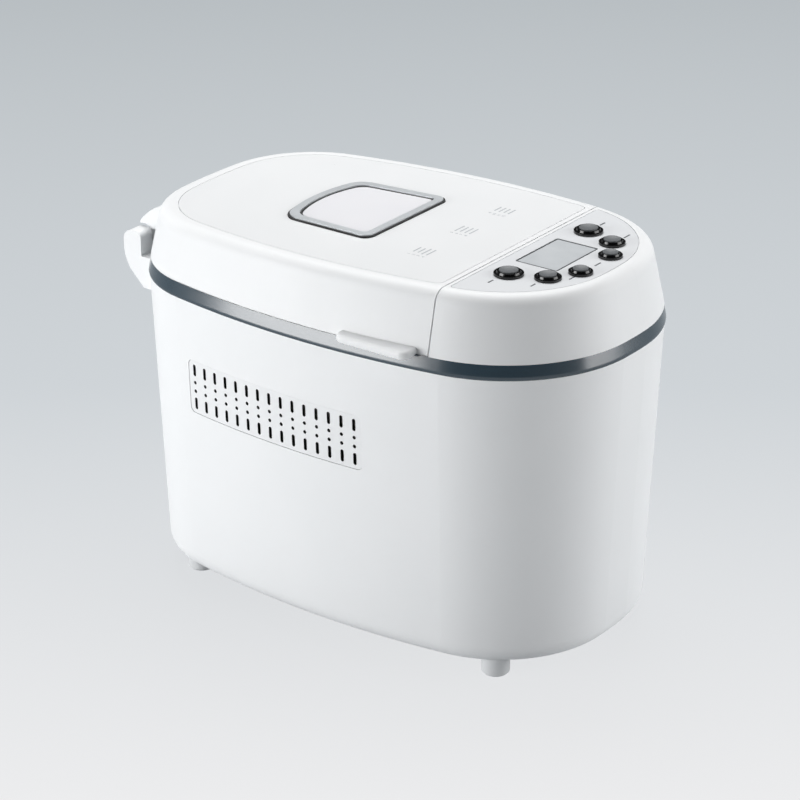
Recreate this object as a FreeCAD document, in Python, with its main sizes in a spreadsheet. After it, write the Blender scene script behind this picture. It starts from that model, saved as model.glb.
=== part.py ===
import FreeCAD, Part
import math
import os
import Sketcher

# A bread machine: a tapered oval housing, a windowed lid hinged at the rear, a control head at the front,
# and a lift-out pan with a kneading paddle that a belt drives from below.
# Frame: +Z up, the control head towards -Y, the hinge towards +Y, the floor at zero height.

# Driving sizes in millimetres. Levels are heights above the floor, places are measured from the plan centre.
SIZES = {
    # Outline and overall heights
    "body_length": 350.0,
    "body_width": 217.0,
    "side_radius": 600.0,
    "front_corner_radius": 93.0,
    "front_end_radius": 300.0,
    "rear_corner_radius": 76.0,
    "rear_end_radius": 400.0,
    "foot_height": 12.0,
    "wall_height": 201.5,
    "band_height": 10.0,
    "crown_height": 40.5,
    # Housing walls
    "wall": 2.2,
    "shell_floor": 3.0,
    "wall_taper": 8.0,
    "base_fillet": 14.0,
    "base_opening_inset": 34.0,
    "base_plate_inset": 24.0,
    "base_plate_thickness": 3.0,
    "crown_setback": 0.8,
    "crown_taper": 9.0,
    "crown_fillet": 9.0,
    "lid_slope": 1.2,
    "lid_spare": 6.0,
    "band_proud": 0.7,
    "band_thickness": 2.0,
    "deck_skirt": 2.0,
    "deck_thickness": 2.5,
    "deck_side_gap": 0.1,
    "lid_gap": 0.6,
    "seam_reach": 89.5,
    "seam_gap": 0.8,
    # Shared clearances
    "inlay_gap": 0.25,
    "groove_gap": 0.45,
    "running_gap": 0.05,
    "moving_gap": 0.3,
    # Feet and cord gland
    "foot_radius": 9.2,
    "foot_edge": 1.4,
    "foot_sink": 8.0,
    "front_foot_side_inset": 42.5,
    "front_foot_end_inset": 56.0,
    "rear_foot_side_inset": 44.5,
    "rear_foot_end_inset": 49.0,
    "gland_level": 40.0,
    "gland_radius": 11.0,
    "gland_proud": 3.0,
    "gland_bore": 6.2,
    "gland_length": 24.0,
    "gland_hole_radius": 3.6,
    # Side vents
    "vent_length": 145.4,
    "vent_height": 38.0,
    "vent_centre": 30.9,
    "vent_level": 153.5,
    "vent_corner": 4.0,
    "vent_recess": 0.3,
    "vent_pitch": 9.6,
    "vent_columns": 15,
    "slot_length": 8.4,
    "slot_width": 2.5,
    "slot_rise": 11.9,
    "dot_rise": 3.1,
    # Lid hinge
    "hinge_reach": 24.4,
    "hinge_drop": 9.0,
    "hinge_inset": 7.4,
    "bracket_width": 97.0,
    "ear_thickness": 12.0,
    "ear_skin": 2.5,
    "bracket_root": 10.0,
    "bracket_shelf": 8.0,
    "bracket_drop": 36.5,
    "bracket_web_drop": 24.5,
    "ear_bend_drop": 20.5,
    "ear_root_drop": 14.2,
    "ear_width": 15.0,
    "ear_rise": 2.5,
    "ear_curve": 26.0,
    "pin_radius": 2.5,
    "knuckle_radius": 7.0,
    "knuckle_width": 60.0,
    "knuckle_relief": 13.2,
    "knuckle_web": 5.0,
    "wedge_gap": 0.5,
    "wedge_rise": 22.5,
    "wedge_lift": 2.0,
    "wedge_tip_rise": 5.5,
    "wedge_tip_reach": 3.0,
    "wedge_bulge": 46.0,
    # Lid top, window and lift lips
    "panel_inset": 20.0,
    "panel_depth": 1.2,
    "panel_front": 85.4,
    "panel_corner": 5.0,
    "window_front": 2.8,
    "window_rear": 74.7,
    "window_shoulder": 67.2,
    "window_front_half": 45.0,
    "window_rear_half": 41.5,
    "window_front_corner": 7.0,
    "window_rear_corner": 15.0,
    "window_corner_share": 0.55,
    "gasket_margin": 1.1,
    "gasket_proud": 1.0,
    "frame_width": 5.2,
    "frame_height": 0.9,
    "glass_thickness": 1.0,
    "glass_ledge": 1.6,
    "lip_front": 82.0,
    "lip_rear": 27.0,
    "lip_reach": 5.5,
    "lip_drop": 1.2,
    "lip_height": 5.6,
    "lip_root": 20.0,
    "lip_corner": 6.0,
    "lip_edge": 2.2,
    "lip_band_gap": 0.5,
    "liner_lift": 4.5,
    "liner_rise": 21.0,
    "liner_inset": 4.8,
    "liner_sheet": 1.2,
    "liner_margin": 4.0,
    "liner_taper": 5.0,
    "liner_window_width": 76.0,
    "liner_window_length": 62.0,
    "inner_glass_lap": 6.0,
    "inner_glass_thickness": 3.0,
    "boss_radius": 4.0,
    "boss_margin": 8.0,
    "boss_spread": 60.0,
    # Control head
    "fascia_inset": 18.0,
    "fascia_rear": 92.2,
    "fascia_corner": 2.5,
    "display_centre": 115.7,
    "display_width": 48.0,
    "display_length": 31.0,
    "display_corner": 1.5,
    "display_ledge": 2.5,
    "lens_thickness": 1.0,
    "board_drop": 18.0,
    "board_thickness": 1.6,
    "board_inset": 20.0,
    "board_rear": 98.0,
    "stud_radius": 3.0,
    "rear_stud_x": 57.0,
    "rear_stud_y": 102.5,
    "front_stud_x": 40.0,
    "front_stud_y": 147.0,
    "tact_size": 6.0,
    "tact_height": 4.2,
    "tact_plunger": 0.9,
    "tact_plunger_radius": 1.7,
    "bezel_height": 2.8,
    "bezel_step": 1.5,
    "bezel_rim": 1.5,
    "cap_share": 0.64,
    "cap_proud": 3.5,
    "cap_flange": 1.5,
    "cap_flange_thickness": 1.2,
    "cap_edge": 0.5,
    "cap_dish_depth": 0.7,
    "stem_radius": 2.5,
    "button_travel": 1.2,
    "button_slack": 0.15,
    "outer_button_x": 45.0,
    "outer_button_y": 110.0,
    "outer_bezel_diameter": 18.8,
    "middle_button_x": 36.5,
    "middle_button_y": 133.0,
    "middle_bezel_diameter": 17.0,
    "inner_button_x": 17.0,
    "inner_button_y": 144.0,
    "inner_bezel_diameter": 15.4,
    # Oven chamber and heater
    "pan_centre": 33.0,
    "chamber_side_gap": 8.0,
    "chamber_end_gap": 10.0,
    "chamber_corner": 24.0,
    "chamber_floor": 60.0,
    "chamber_sheet": 1.2,
    "chamber_flange": 7.0,
    "deck_opening_gap": 1.5,
    "coupling_hole_radius": 15.0,
    "heater_wire": 6.5,
    "heater_level": 80.0,
    "heater_wall_gap": 2.0,
    "heater_corner": 18.0,
    "heater_lead_x": 14.0,
    "heater_lead_bend": 5.0,
    "heater_lead_length": 14.0,
    "sensor_x": 30.0,
    "sensor_level": 112.0,
    "sensor_radius": 2.6,
    "sensor_reach": 5.0,
    "sensor_head_radius": 6.0,
    "sensor_head_length": 7.0,
    # Bread pan, bail and paddle
    "pan_width": 128.0,
    "pan_length": 175.0,
    "pan_corner": 22.0,
    "pan_taper": 3.0,
    "pan_wall": 1.6,
    "pan_floor": 2.0,
    "pan_bottom": 76.0,
    "pan_height": 129.0,
    "rim_width": 2.5,
    "rim_thickness": 2.0,
    "lug_width": 18.0,
    "lug_height": 9.0,
    "lug_thickness": 2.5,
    "lug_corner": 5.0,
    "bail_wire": 5.0,
    "bail_rim_gap": 1.2,
    "bail_side_gap": 4.0,
    "bail_end_gap": 2.0,
    "bail_corner": 14.0,
    "bail_end_bend": 5.0,
    "bail_stub": 3.0,
    "seat_radius": 50.5,
    "seat_height": 8.0,
    "base_ring_radius": 46.0,
    "base_ring_wall": 3.2,
    "pan_bearing_radius": 11.0,
    "pan_bearing_collar": 14.0,
    "pan_bearing_drop": 3.0,
    "pan_bearing_height": 7.0,
    "shaft_radius": 4.0,
    "pan_shaft_rise": 36.0,
    "driver_length": 21.0,
    "driver_width": 6.0,
    "driver_height": 4.5,
    "paddle_hub_radius": 9.0,
    "paddle_hub_top_radius": 6.5,
    "paddle_height": 34.0,
    "paddle_length": 52.0,
    "paddle_blade_height": 27.0,
    "paddle_tip_height": 15.0,
    "paddle_thickness": 6.0,
    "paddle_floor_gap": 1.0,
    # Drive train below the oven
    "chassis_level": 44.0,
    "chassis_thickness": 2.0,
    "chassis_inset": 32.0,
    "post_radius": 5.5,
    "side_post_x": 62.0,
    "side_post_y": 45.0,
    "rear_post_x": 48.0,
    "rear_post_y": 112.0,
    "front_post_x": 47.0,
    "front_post_y": 128.0,
    "screw_radius": 1.5,
    "screw_head_radius": 3.0,
    "screw_head_height": 1.8,
    "screw_length": 10.0,
    "screw_gap": 0.2,
    "spacer_radius": 5.0,
    "spacer_x": 48.0,
    "spacer_y": 70.0,
    "bearing_radius": 10.0,
    "bearing_flange_radius": 20.0,
    "bearing_flange_height": 3.0,
    "bearing_drop": 3.0,
    "bearing_rise": 12.0,
    "drive_shaft_bottom": 23.0,
    "coupling_radius": 12.0,
    "coupling_bottom": 60.8,
    "coupling_height": 5.0,
    "dog_height": 5.5,
    "dog_reach": 10.5,
    "dog_width": 7.0,
    "dog_thickness": 4.0,
    "dog_gap": 0.8,
    "pulley_bottom": 26.0,
    "pulley_width": 11.0,
    "pulley_flange": 1.2,
    "pulley_flange_rise": 3.0,
    "large_pulley_radius": 52.0,
    "large_hub_radius": 11.0,
    "large_rim": 5.0,
    "large_web": 4.0,
    "small_pulley_radius": 9.0,
    "belt_width": 8.0,
    "belt_thickness": 2.0,
    "motor_reach": 104.0,
    "motor_shaft_radius": 3.0,
    "motor_shaft_bottom": 24.0,
    "motor_shaft_length": 54.0,
    "motor_flange_width": 84.0,
    "motor_flange_length": 50.0,
    "motor_flange_thickness": 3.0,
    "motor_screw_x": 36.0,
    "motor_screw_y": 19.0,
    "motor_bell_radius": 28.0,
    "motor_bell_height": 8.0,
    "motor_stack_width": 62.0,
    "motor_stack_height": 28.0,
    "motor_stack_corner": 9.0,
    "motor_cap_height": 14.0,
    "motor_shaft_hole": 7.0,
    "capacitor_x": 57.0,
    "capacitor_y": 95.0,
    "capacitor_radius": 13.0,
    "capacitor_height": 46.0,
    "power_board_x": 52.0,
    "power_board_y": 96.0,
    "power_board_length": 52.0,
    "power_board_height": 62.0,
    "relay_height": 16.0,
    "relay_length": 20.0,
    "relay_depth": 15.0,
    "relay_lift": 10.0,
    "transformer_height": 28.0,
    "transformer_length": 30.0,
    "transformer_depth": 18.0,
    "transformer_lift": 30.0,
}

doc = FreeCAD.newDocument("bread_machine")
sheet = doc.addObject("Spreadsheet::Sheet", "dims")


class Formula:
    """A size that carries both its value and the spreadsheet formula that it comes from."""

    def __init__(self, text, value):
        self.text = text
        self.value = value

    def __add__(self, other):
        other = as_formula(other)
        return Formula(f"({self.text} + {other.text})", self.value + other.value)

    def __sub__(self, other):
        other = as_formula(other)
        return Formula(f"({self.text} - {other.text})", self.value - other.value)

    def __mul__(self, other):
        other = as_formula(other)
        return Formula(f"({self.text} * {other.text})", self.value * other.value)

    def __truediv__(self, other):
        other = as_formula(other)
        return Formula(f"({self.text} / {other.text})", self.value / other.value)

    def __radd__(self, other):
        return as_formula(other) + self

    def __rsub__(self, other):
        return as_formula(other) - self

    def __rmul__(self, other):
        return as_formula(other) * self

    def __neg__(self):
        return as_formula(0) - self


def as_formula(number):
    return number if isinstance(number, Formula) else Formula(repr(float(number)), float(number))


class Sizes:
    """The driving sizes, each one a cell of the sheet under its own name."""

    def __init__(self, table):
        for row, (name, value) in enumerate(table.items(), start=1):
            sheet.set(f"A{row}", name)
            sheet.set(f"B{row}", str(value))
            sheet.setAlias(f"B{row}", name)
            setattr(self, name, Formula(f"dims.{name}", float(value)))


d = Sizes(SIZES)
doc.recompute()

# Levels and places that several pieces share
nothing = as_formula(0)
half_length = d.body_length / 2
half_width = d.body_width / 2
shell_top = d.foot_height + d.wall_height
rim = shell_top + d.band_height
top = rim + d.crown_height
lid_bottom = rim + d.lid_gap
lid_front = d.seam_gap / 2 - d.seam_reach
head_rear = -d.seam_gap / 2 - d.seam_reach
floor_top = d.foot_height + d.shell_floor
base_top = floor_top + d.base_plate_thickness
chassis_top = d.chassis_level + d.chassis_thickness
chamber_top = rim - d.deck_thickness
pan_rim = d.pan_bottom + d.pan_height
hinge_y = half_length + d.hinge_reach - d.hinge_inset
hinge_level = rim - d.hinge_drop
liner_level = rim + d.liner_lift
lid_fall = Formula(f"tan({d.lid_slope.text} * 1 deg)", math.tan(math.radians(d.lid_slope.value)))
far = d.body_length + d.body_width
plan_shift = (d.band_proud - d.hinge_reach) / 2

nodes = []


# Objects and their places

def place(thing, x=0, y=0, z=0):
    for axis, distance in zip("xyz", (x, y, z)):
        thing.setExpression(f"Placement.Base.{axis}", as_formula(distance).text)
    return thing


def lean(thing, y=nothing):
    """Tip a level piece about the front edge of the lid top, so that it follows the slope of the lid."""
    angle = f"({d.lid_slope.text} * 1 deg)"
    cosine = Formula(f"cos{angle}", math.cos(math.radians(d.lid_slope.value)))
    sine = Formula(f"sin{angle}", math.sin(math.radians(d.lid_slope.value)))
    tip = FreeCAD.Rotation(FreeCAD.Vector(-1, 0, 0), d.lid_slope.value)
    thing.Placement = FreeCAD.Placement(FreeCAD.Vector(), tip)
    thing.setExpression("Placement.Rotation.Angle", angle)
    back = lid_front - lid_front * cosine - top * sine
    return place(thing, 0, back + y, top - top * cosine + lid_front * sine)


def finish(thing, label, x=0, y=0, z=0, on_lid_top=False):
    """Name a finished sub-part and move it to the frame whose origin is under the middle of the whole."""
    thing.Label = label
    nodes.append(thing)
    return lean(thing, plan_shift) if on_lid_top else place(thing, x, plan_shift + y, z)


def new_body(name):
    return doc.addObject("PartDesign::Body", name)


def new_sketch(body, role, offset=nothing):
    support = next(feature for feature in body.Origin.OriginFeatures if feature.Role == role)
    sketch = body.newObject("Sketcher::SketchObject", "Sketch")
    sketch.AttachmentSupport = (support, [""])
    sketch.MapMode = "FlatFace"
    sketch.setExpression("AttachmentOffset.Base.z", as_formula(offset).text)
    return sketch


# Sketch outlines, each one fully constrained to the sheet

def point(x, y):
    return FreeCAD.Vector(x, y, 0)


def bind(sketch, size, *constraint):
    index = sketch.addConstraint(Sketcher.Constraint(*constraint, size.value))
    sketch.setExpression(f"Constraints[{index}]", size.text)


def pin_down(sketch, geometry, position, x, y):
    bind(sketch, as_formula(x), "DistanceX", -1, 1, geometry, position)
    bind(sketch, as_formula(y), "DistanceY", -1, 1, geometry, position)


def add_arc(sketch, x, y, radius, start, end):
    circle = Part.Circle(point(x, y), FreeCAD.Vector(0, 0, 1), radius)
    return sketch.addGeometry(Part.ArcOfCircle(circle, start, end), False)


def add_line(sketch, x0, y0, x1, y1):
    return sketch.addGeometry(Part.LineSegment(point(x0, y0), point(x1, y1)), False)


def draw_circle(sketch, x, y, radius):
    x, y, radius = as_formula(x), as_formula(y), as_formula(radius)
    normal = FreeCAD.Vector(0, 0, 1)
    index = sketch.addGeometry(Part.Circle(point(x.value, y.value), normal, radius.value), False)
    pin_down(sketch, index, 3, x, y)
    bind(sketch, radius, "Radius", index)


def draw_polygon(sketch, corners):
    corners = [(as_formula(x), as_formula(y)) for x, y in corners]
    lines = []
    for (x0, y0), (x1, y1) in zip(corners, corners[1:] + corners[:1]):
        lines.append(add_line(sketch, x0.value, y0.value, x1.value, y1.value))
    for line, following in zip(lines, lines[1:] + lines[:1]):
        sketch.addConstraint(Sketcher.Constraint("Coincident", line, 2, following, 1))
    for line, (x, y) in zip(lines, corners):
        pin_down(sketch, line, 1, x, y)


def draw_rectangle(sketch, x0, x1, y0, y1):
    draw_polygon(sketch, [(x0, y0), (x1, y0), (x1, y1), (x0, y1)])


def draw_rounded_rectangle(sketch, x0, x1, y0, y1, radius):
    x0, x1, y0, y1, radius = (as_formula(size) for size in (x0, x1, y0, y1, radius))
    left, right, low, high, r = x0.value, x1.value, y0.value, y1.value, radius.value
    quarter = math.pi / 2
    sides = [
        add_line(sketch, left + r, low, right - r, low),
        add_line(sketch, right, low + r, right, high - r),
        add_line(sketch, right - r, high, left + r, high),
        add_line(sketch, left, high - r, left, low + r),
    ]
    corners = [
        add_arc(sketch, right - r, low + r, r, -quarter, 0),
        add_arc(sketch, right - r, high - r, r, 0, quarter),
        add_arc(sketch, left + r, high - r, r, quarter, 2 * quarter),
        add_arc(sketch, left + r, low + r, r, 2 * quarter, 3 * quarter),
    ]
    for side, corner, following in zip(sides, corners, sides[1:] + sides[:1]):
        sketch.addConstraint(Sketcher.Constraint("Tangent", side, 2, corner, 1))
        sketch.addConstraint(Sketcher.Constraint("Tangent", corner, 2, following, 1))
    for side in (sides[0], sides[2]):
        sketch.addConstraint(Sketcher.Constraint("Horizontal", side))
    for side in (sides[1], sides[3]):
        sketch.addConstraint(Sketcher.Constraint("Vertical", side))
    for corner in corners[1:]:
        sketch.addConstraint(Sketcher.Constraint("Equal", corners[0], corner))
    bind(sketch, radius, "Radius", corners[0])
    bind(sketch, y0, "DistanceY", -1, 1, sides[0], 1)
    bind(sketch, x1, "DistanceX", -1, 1, sides[1], 1)
    bind(sketch, y1, "DistanceY", -1, 1, sides[2], 1)
    bind(sketch, x0, "DistanceX", -1, 1, sides[3], 1)


def draw_obround(sketch, x, y, length, width):
    """An upright slot with round ends."""
    x, y, reach, radius = as_formula(x), as_formula(y), (length - width) / 2, width / 2
    upper = add_arc(sketch, x.value, (y + reach).value, radius.value, 0, math.pi)
    lower = add_arc(sketch, x.value, (y - reach).value, radius.value, math.pi, 2 * math.pi)
    left, right = (x - radius).value, (x + radius).value
    high, low = (y + reach).value, (y - reach).value
    down = add_line(sketch, left, high, left, low)
    up = add_line(sketch, right, low, right, high)
    for first, second in ((upper, down), (down, lower), (lower, up), (up, upper)):
        sketch.addConstraint(Sketcher.Constraint("Tangent", first, 2, second, 1))
    for arc, level in ((upper, y + reach), (lower, y - reach)):
        pin_down(sketch, arc, 3, x, level)
        bind(sketch, radius, "Radius", arc)


def corner_centre(corner_radius, end_radius):
    """Centre of the arc that joins a side arc to an end arc, in the first quadrant."""
    side_x = half_width.value - d.side_radius.value
    end_y = half_length.value - end_radius.value
    to_side = d.side_radius.value - corner_radius.value
    to_end = end_radius.value - corner_radius.value
    span = math.hypot(side_x, end_y)
    along = (to_side ** 2 - to_end ** 2 + span ** 2) / (2 * span)
    across = math.sqrt(to_side ** 2 - along ** 2)
    ux, uy = -side_x / span, end_y / span
    choices = [(side_x + ux * along + s * uy * across, uy * along - s * ux * across) for s in (1, -1)]
    return max(choices, key=sum)


def draw_oval(sketch, inset):
    """The plan of the machine, drawn in by an inset: side, corner and end arcs, all tangent."""
    inset = as_formula(inset)
    side_x = half_width.value - d.side_radius.value
    rear_x, rear_y = corner_centre(d.rear_corner_radius, d.rear_end_radius)
    front_x, front_y = corner_centre(d.front_corner_radius, d.front_end_radius)
    rear_end_y = half_length.value - d.rear_end_radius.value
    front_end_y = d.front_end_radius.value - half_length.value
    half = math.pi
    rear_side = math.atan2(rear_y, rear_x - side_x)
    rear_end = math.atan2(rear_y - rear_end_y, rear_x)
    front_side = math.atan2(-front_y, front_x - side_x)
    front_end = math.atan2(-front_y - front_end_y, front_x)
    arcs = [
        (side_x, 0, d.side_radius, front_side, rear_side),
        (rear_x, rear_y, d.rear_corner_radius, rear_side, rear_end),
        (0, rear_end_y, d.rear_end_radius, rear_end, half - rear_end),
        (-rear_x, rear_y, d.rear_corner_radius, half - rear_end, half - rear_side),
        (-side_x, 0, d.side_radius, half - rear_side, half - front_side),
        (-front_x, -front_y, d.front_corner_radius, half - front_side, half - front_end),
        (0, front_end_y, d.front_end_radius, half - front_end, 2 * half + front_end),
        (front_x, -front_y, d.front_corner_radius, 2 * half + front_end, 2 * half + front_side),
    ]
    drawn = [add_arc(sketch, x, y, radius.value - inset.value, a, b) for x, y, radius, a, b in arcs]
    right, rear_corner, rear, _, left, front_corner, front, _ = drawn
    for arc, following in zip(drawn, drawn[1:] + drawn[:1]):
        sketch.addConstraint(Sketcher.Constraint("Tangent", arc, 2, following, 1))
    for arc, twin in ((right, left), (rear_corner, drawn[3]), (front_corner, drawn[7])):
        sketch.addConstraint(Sketcher.Constraint("Equal", arc, twin))
    for index in (0, 1, 2, 5, 6):
        bind(sketch, arcs[index][2] - inset, "Radius", drawn[index])
    for arc, axis in ((right, -1), (left, -1), (rear, -2), (front, -2)):
        sketch.addConstraint(Sketcher.Constraint("PointOnObject", arc, 3, axis))
    bind(sketch, d.side_radius - half_width, "DistanceX", right, 3, -1, 1)
    bind(sketch, d.side_radius - half_width, "DistanceX", -1, 1, left, 3)
    bind(sketch, d.rear_end_radius - half_length, "DistanceY", rear, 3, -1, 1)
    bind(sketch, d.front_end_radius - half_length, "DistanceY", -1, 1, front, 3)


def draw_window(sketch, inset):
    """The lid window: straight front, sides that close in slightly, and an arched rear edge."""
    front = inset - d.window_front
    shoulder = d.window_shoulder - inset
    front_half = d.window_front_half - inset
    rear_half = d.window_rear_half - inset
    rise = d.window_rear - d.window_shoulder
    radius = (rear_half * rear_half + rise * rise) / (2 * rise)
    centre_y = (d.window_rear - inset - radius).value
    turn = math.atan2(shoulder.value - centre_y, rear_half.value)
    front_line = add_line(sketch, -front_half.value, front.value, front_half.value, front.value)
    right = add_line(sketch, front_half.value, front.value, rear_half.value, shoulder.value)
    arch = add_arc(sketch, 0, centre_y, radius.value, turn, math.pi - turn)
    left = add_line(sketch, -rear_half.value, shoulder.value, -front_half.value, front.value)
    for first, second in ((front_line, right), (right, arch), (arch, left), (left, front_line)):
        sketch.addConstraint(Sketcher.Constraint("Coincident", first, 2, second, 1))
    pin_down(sketch, front_line, 1, -front_half, front)
    pin_down(sketch, right, 1, front_half, front)
    pin_down(sketch, arch, 1, rear_half, shoulder)
    pin_down(sketch, left, 1, -rear_half, shoulder)
    bind(sketch, radius, "Radius", arch)


def draw_square_path(sketch, corners, radii):
    """An open path of level and upright runs, joined by tangent arcs. The first and last runs are upright."""
    corners = [(as_formula(x), as_formula(y)) for x, y in corners]
    spots = [point(x.value, y.value) for x, y in corners]
    headings = [(end - start).normalize() for start, end in zip(spots, spots[1:])]
    trims = [0] + [radius.value for radius in radii] + [0]
    lines = []
    for index, heading in enumerate(headings):
        start = spots[index] + heading * trims[index]
        end = spots[index + 1] - heading * trims[index + 1]
        lines.append(add_line(sketch, start.x, start.y, end.x, end.y))
        level = abs(heading.x) > abs(heading.y)
        sketch.addConstraint(Sketcher.Constraint("Horizontal" if level else "Vertical", lines[-1]))
        x, y = corners[index]
        bind(sketch, y if level else x, "DistanceY" if level else "DistanceX", -1, 1, lines[-1], 1)
    for index, radius in enumerate(radii):
        came, goes = headings[index], headings[index + 1]
        centre = spots[index + 1] + (goes - came) * radius.value
        turns_left = came.x * goes.y > came.y * goes.x
        spokes = (-goes, came) if turns_left else (came, -goes)
        begin, end = (math.atan2(spoke.y, spoke.x) for spoke in spokes)
        end += 2 * math.pi if end < begin else 0
        arc = add_arc(sketch, centre.x, centre.y, radius.value, begin, end)
        arrive, leave = (1, 2) if turns_left else (2, 1)
        sketch.addConstraint(Sketcher.Constraint("Tangent", lines[index], 2, arc, arrive))
        sketch.addConstraint(Sketcher.Constraint("Tangent", arc, leave, lines[index + 1], 1))
        bind(sketch, radius, "Radius", arc)
    bind(sketch, corners[0][1], "DistanceY", -1, 1, lines[0], 1)
    bind(sketch, corners[-1][1], "DistanceY", -1, 1, lines[-1], 2)


# Solid features

def pad(body, sketch, length, down=False, both=False):
    feature = body.newObject("PartDesign::Pad", "Pad")
    feature.Profile = sketch
    feature.Reversed = down
    feature.Midplane = both
    feature.setExpression("Length", as_formula(length).text)
    return feature


def pocket(body, sketch, length, up=False, both=False):
    feature = body.newObject("PartDesign::Pocket", "Pocket")
    feature.Profile = sketch
    feature.Reversed = up
    feature.Midplane = both
    feature.setExpression("Length", as_formula(length).text)
    return feature


def fillet(body, radius, choose):
    """Round the edges of the body so far that the test picks."""
    doc.recompute()
    base = body.Tip
    names = [f"Edge{n}" for n, edge in enumerate(base.Shape.Edges, start=1) if choose(edge.BoundBox)]
    feature = body.newObject("PartDesign::Fillet", "Fillet")
    feature.Base = (base, names)
    feature.setExpression("Radius", as_formula(radius).text)
    return feature


def at_level(level):
    return lambda box: abs(box.ZMin - level.value) < 1e-4 and abs(box.ZMax - level.value) < 1e-4


def upright(box):
    return box.ZLength > 1e-3 and box.XLength < 1e-3 and box.YLength < 1e-3


def plate(name, level, thickness, *drawings):
    """A body padded up from a level. Each drawing is a function and its arguments after the sketch."""
    body = new_body(name)
    sketch = new_sketch(body, "XY_Plane", level)
    for draw, *sizes in drawings:
        draw(sketch, *sizes)
    pad(body, sketch, thickness)
    return body


def drill(body, level, depth, *drawings, up=False):
    sketch = new_sketch(body, "XY_Plane", level)
    for draw, *sizes in drawings:
        draw(sketch, *sizes)
    pocket(body, sketch, depth, up=up)


def turned(name, profile):
    """A body turned about the vertical axis from a profile of radius and height."""
    body = new_body(name)
    sketch = new_sketch(body, "XZ_Plane")
    draw_polygon(sketch, profile)
    feature = body.newObject("PartDesign::Revolution", "Revolution")
    feature.Profile = sketch
    feature.ReferenceAxis = (sketch, ["V_Axis"])
    feature.Angle = 360
    return body


def swept(name, section_role, section_offset, section, path_level, path, radii):
    """A round wire swept along a level path."""
    body = new_body(name)
    spine = new_sketch(body, "XY_Plane", path_level)
    draw_square_path(spine, path, radii)
    profile = new_sketch(body, section_role, section_offset)
    draw_circle(profile, *section)
    feature = body.newObject("PartDesign::AdditivePipe", "Pipe")
    feature.Profile = profile
    feature.Spine = spine
    return body


def box(x0, x1, y0, y1, z0, z1):
    solid = doc.addObject("Part::Box", "Box")
    for side, low, high in (("Length", x0, x1), ("Width", y0, y1), ("Height", z0, z1)):
        solid.setExpression(side, (as_formula(high) - low).text)
    return place(solid, x0, y0, z0)


def cylinder(x, y, z, radius, height):
    solid = doc.addObject("Part::Cylinder", "Cylinder")
    solid.setExpression("Radius", as_formula(radius).text)
    solid.setExpression("Height", as_formula(height).text)
    return place(solid, x, y, z)


def sphere(x, y, z, radius):
    solid = doc.addObject("Part::Sphere", "Sphere")
    solid.setExpression("Radius", as_formula(radius).text)
    return place(solid, x, y, z)


def cut(base, *tools):
    for tool in tools:
        result = doc.addObject("Part::Cut", "Cut")
        result.Base = base
        result.Tool = tool
        base = result
    return base


def common(base, tool):
    result = doc.addObject("Part::Common", "Common")
    result.Base = base
    result.Tool = tool
    return result


def fuse(*pieces):
    result = doc.addObject("Part::MultiFuse", "Fuse")
    result.Shapes = list(pieces)
    return result


def group(*pieces):
    result = doc.addObject("Part::Compound", "Group")
    result.Links = list(pieces)
    return result


def oval_form(name, level, inset, height, taper, down=False):
    """An oval block that starts at a level and draws in by the taper over its height."""
    body = new_body(name)
    sketch = new_sketch(body, "XY_Plane", level)
    draw_oval(sketch, inset)
    block = pad(body, sketch, height, down)
    block.setExpression("TaperAngle", f"-atan({taper.text} / {height.text})")
    return body


# Outer and inner forms of the housing and of the crown that the lid and control head share

lower_outer = oval_form("lower_outer", shell_top, nothing, d.wall_height, d.wall_taper, down=True)
fillet(lower_outer, d.base_fillet, at_level(d.foot_height))
lower_inner = oval_form("lower_inner", shell_top, d.wall, d.wall_height - d.shell_floor, d.wall_taper, down=True)
fillet(lower_inner, d.base_fillet - d.wall, at_level(floor_top))
crown_outer = oval_form("crown_outer", rim, d.crown_setback, d.crown_height, d.crown_taper)
fillet(crown_outer, d.crown_fillet, at_level(top))
crown_inner = oval_form("crown_inner", rim, d.crown_setback + d.wall, d.crown_height - d.wall, d.crown_taper)
fillet(crown_inner, d.crown_fillet - d.wall, at_level(top - d.wall))

# Body shell, with its base opening, side vent openings and the hole for the cord gland

vent_front = d.vent_centre - d.vent_length / 2
vent_rear = d.vent_centre + d.vent_length / 2
vent_low = d.vent_level - d.vent_height / 2
vent_high = d.vent_level + d.vent_height / 2
gland_wall_y = half_length - d.wall_taper * (1 - (d.gland_level - d.foot_height) / d.wall_height)


def vent_block(name, inset):
    """The outline of a side vent, drawn in by an inset and padded right through the housing."""
    body = new_body(name)
    sketch = new_sketch(body, "YZ_Plane")
    draw_rounded_rectangle(sketch, vent_front + inset, vent_rear - inset, vent_low + inset, vent_high - inset,
                           d.vent_corner - inset)
    pad(body, sketch, far, both=True)
    return body


def along_y(name, x, level, radius, start, length):
    """A round bar that points to the rear."""
    body = new_body(name)
    sketch = new_sketch(body, "XZ_Plane", -start)
    draw_circle(sketch, x, level, radius)
    pad(body, sketch, length, down=True)
    return body


def along_x(name, y, level, radius, length):
    """A round bar across the machine, centred on it."""
    body = new_body(name)
    sketch = new_sketch(body, "YZ_Plane")
    draw_circle(sketch, y, level, radius)
    pad(body, sketch, length, both=True)
    return body


shell_ring = cut(lower_outer, lower_inner)
gland_start = gland_wall_y + d.gland_proud - d.gland_length
gland_hole = along_y("gland_hole", 0, d.gland_level, d.gland_bore + d.screw_gap, gland_start, far / 4)
base_opening = plate("base_opening", nothing, base_top, (draw_oval, d.base_opening_inset))
finish(cut(shell_ring, base_opening, vent_block("vent_opening", nothing), gland_hole), "body_shell")

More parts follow.
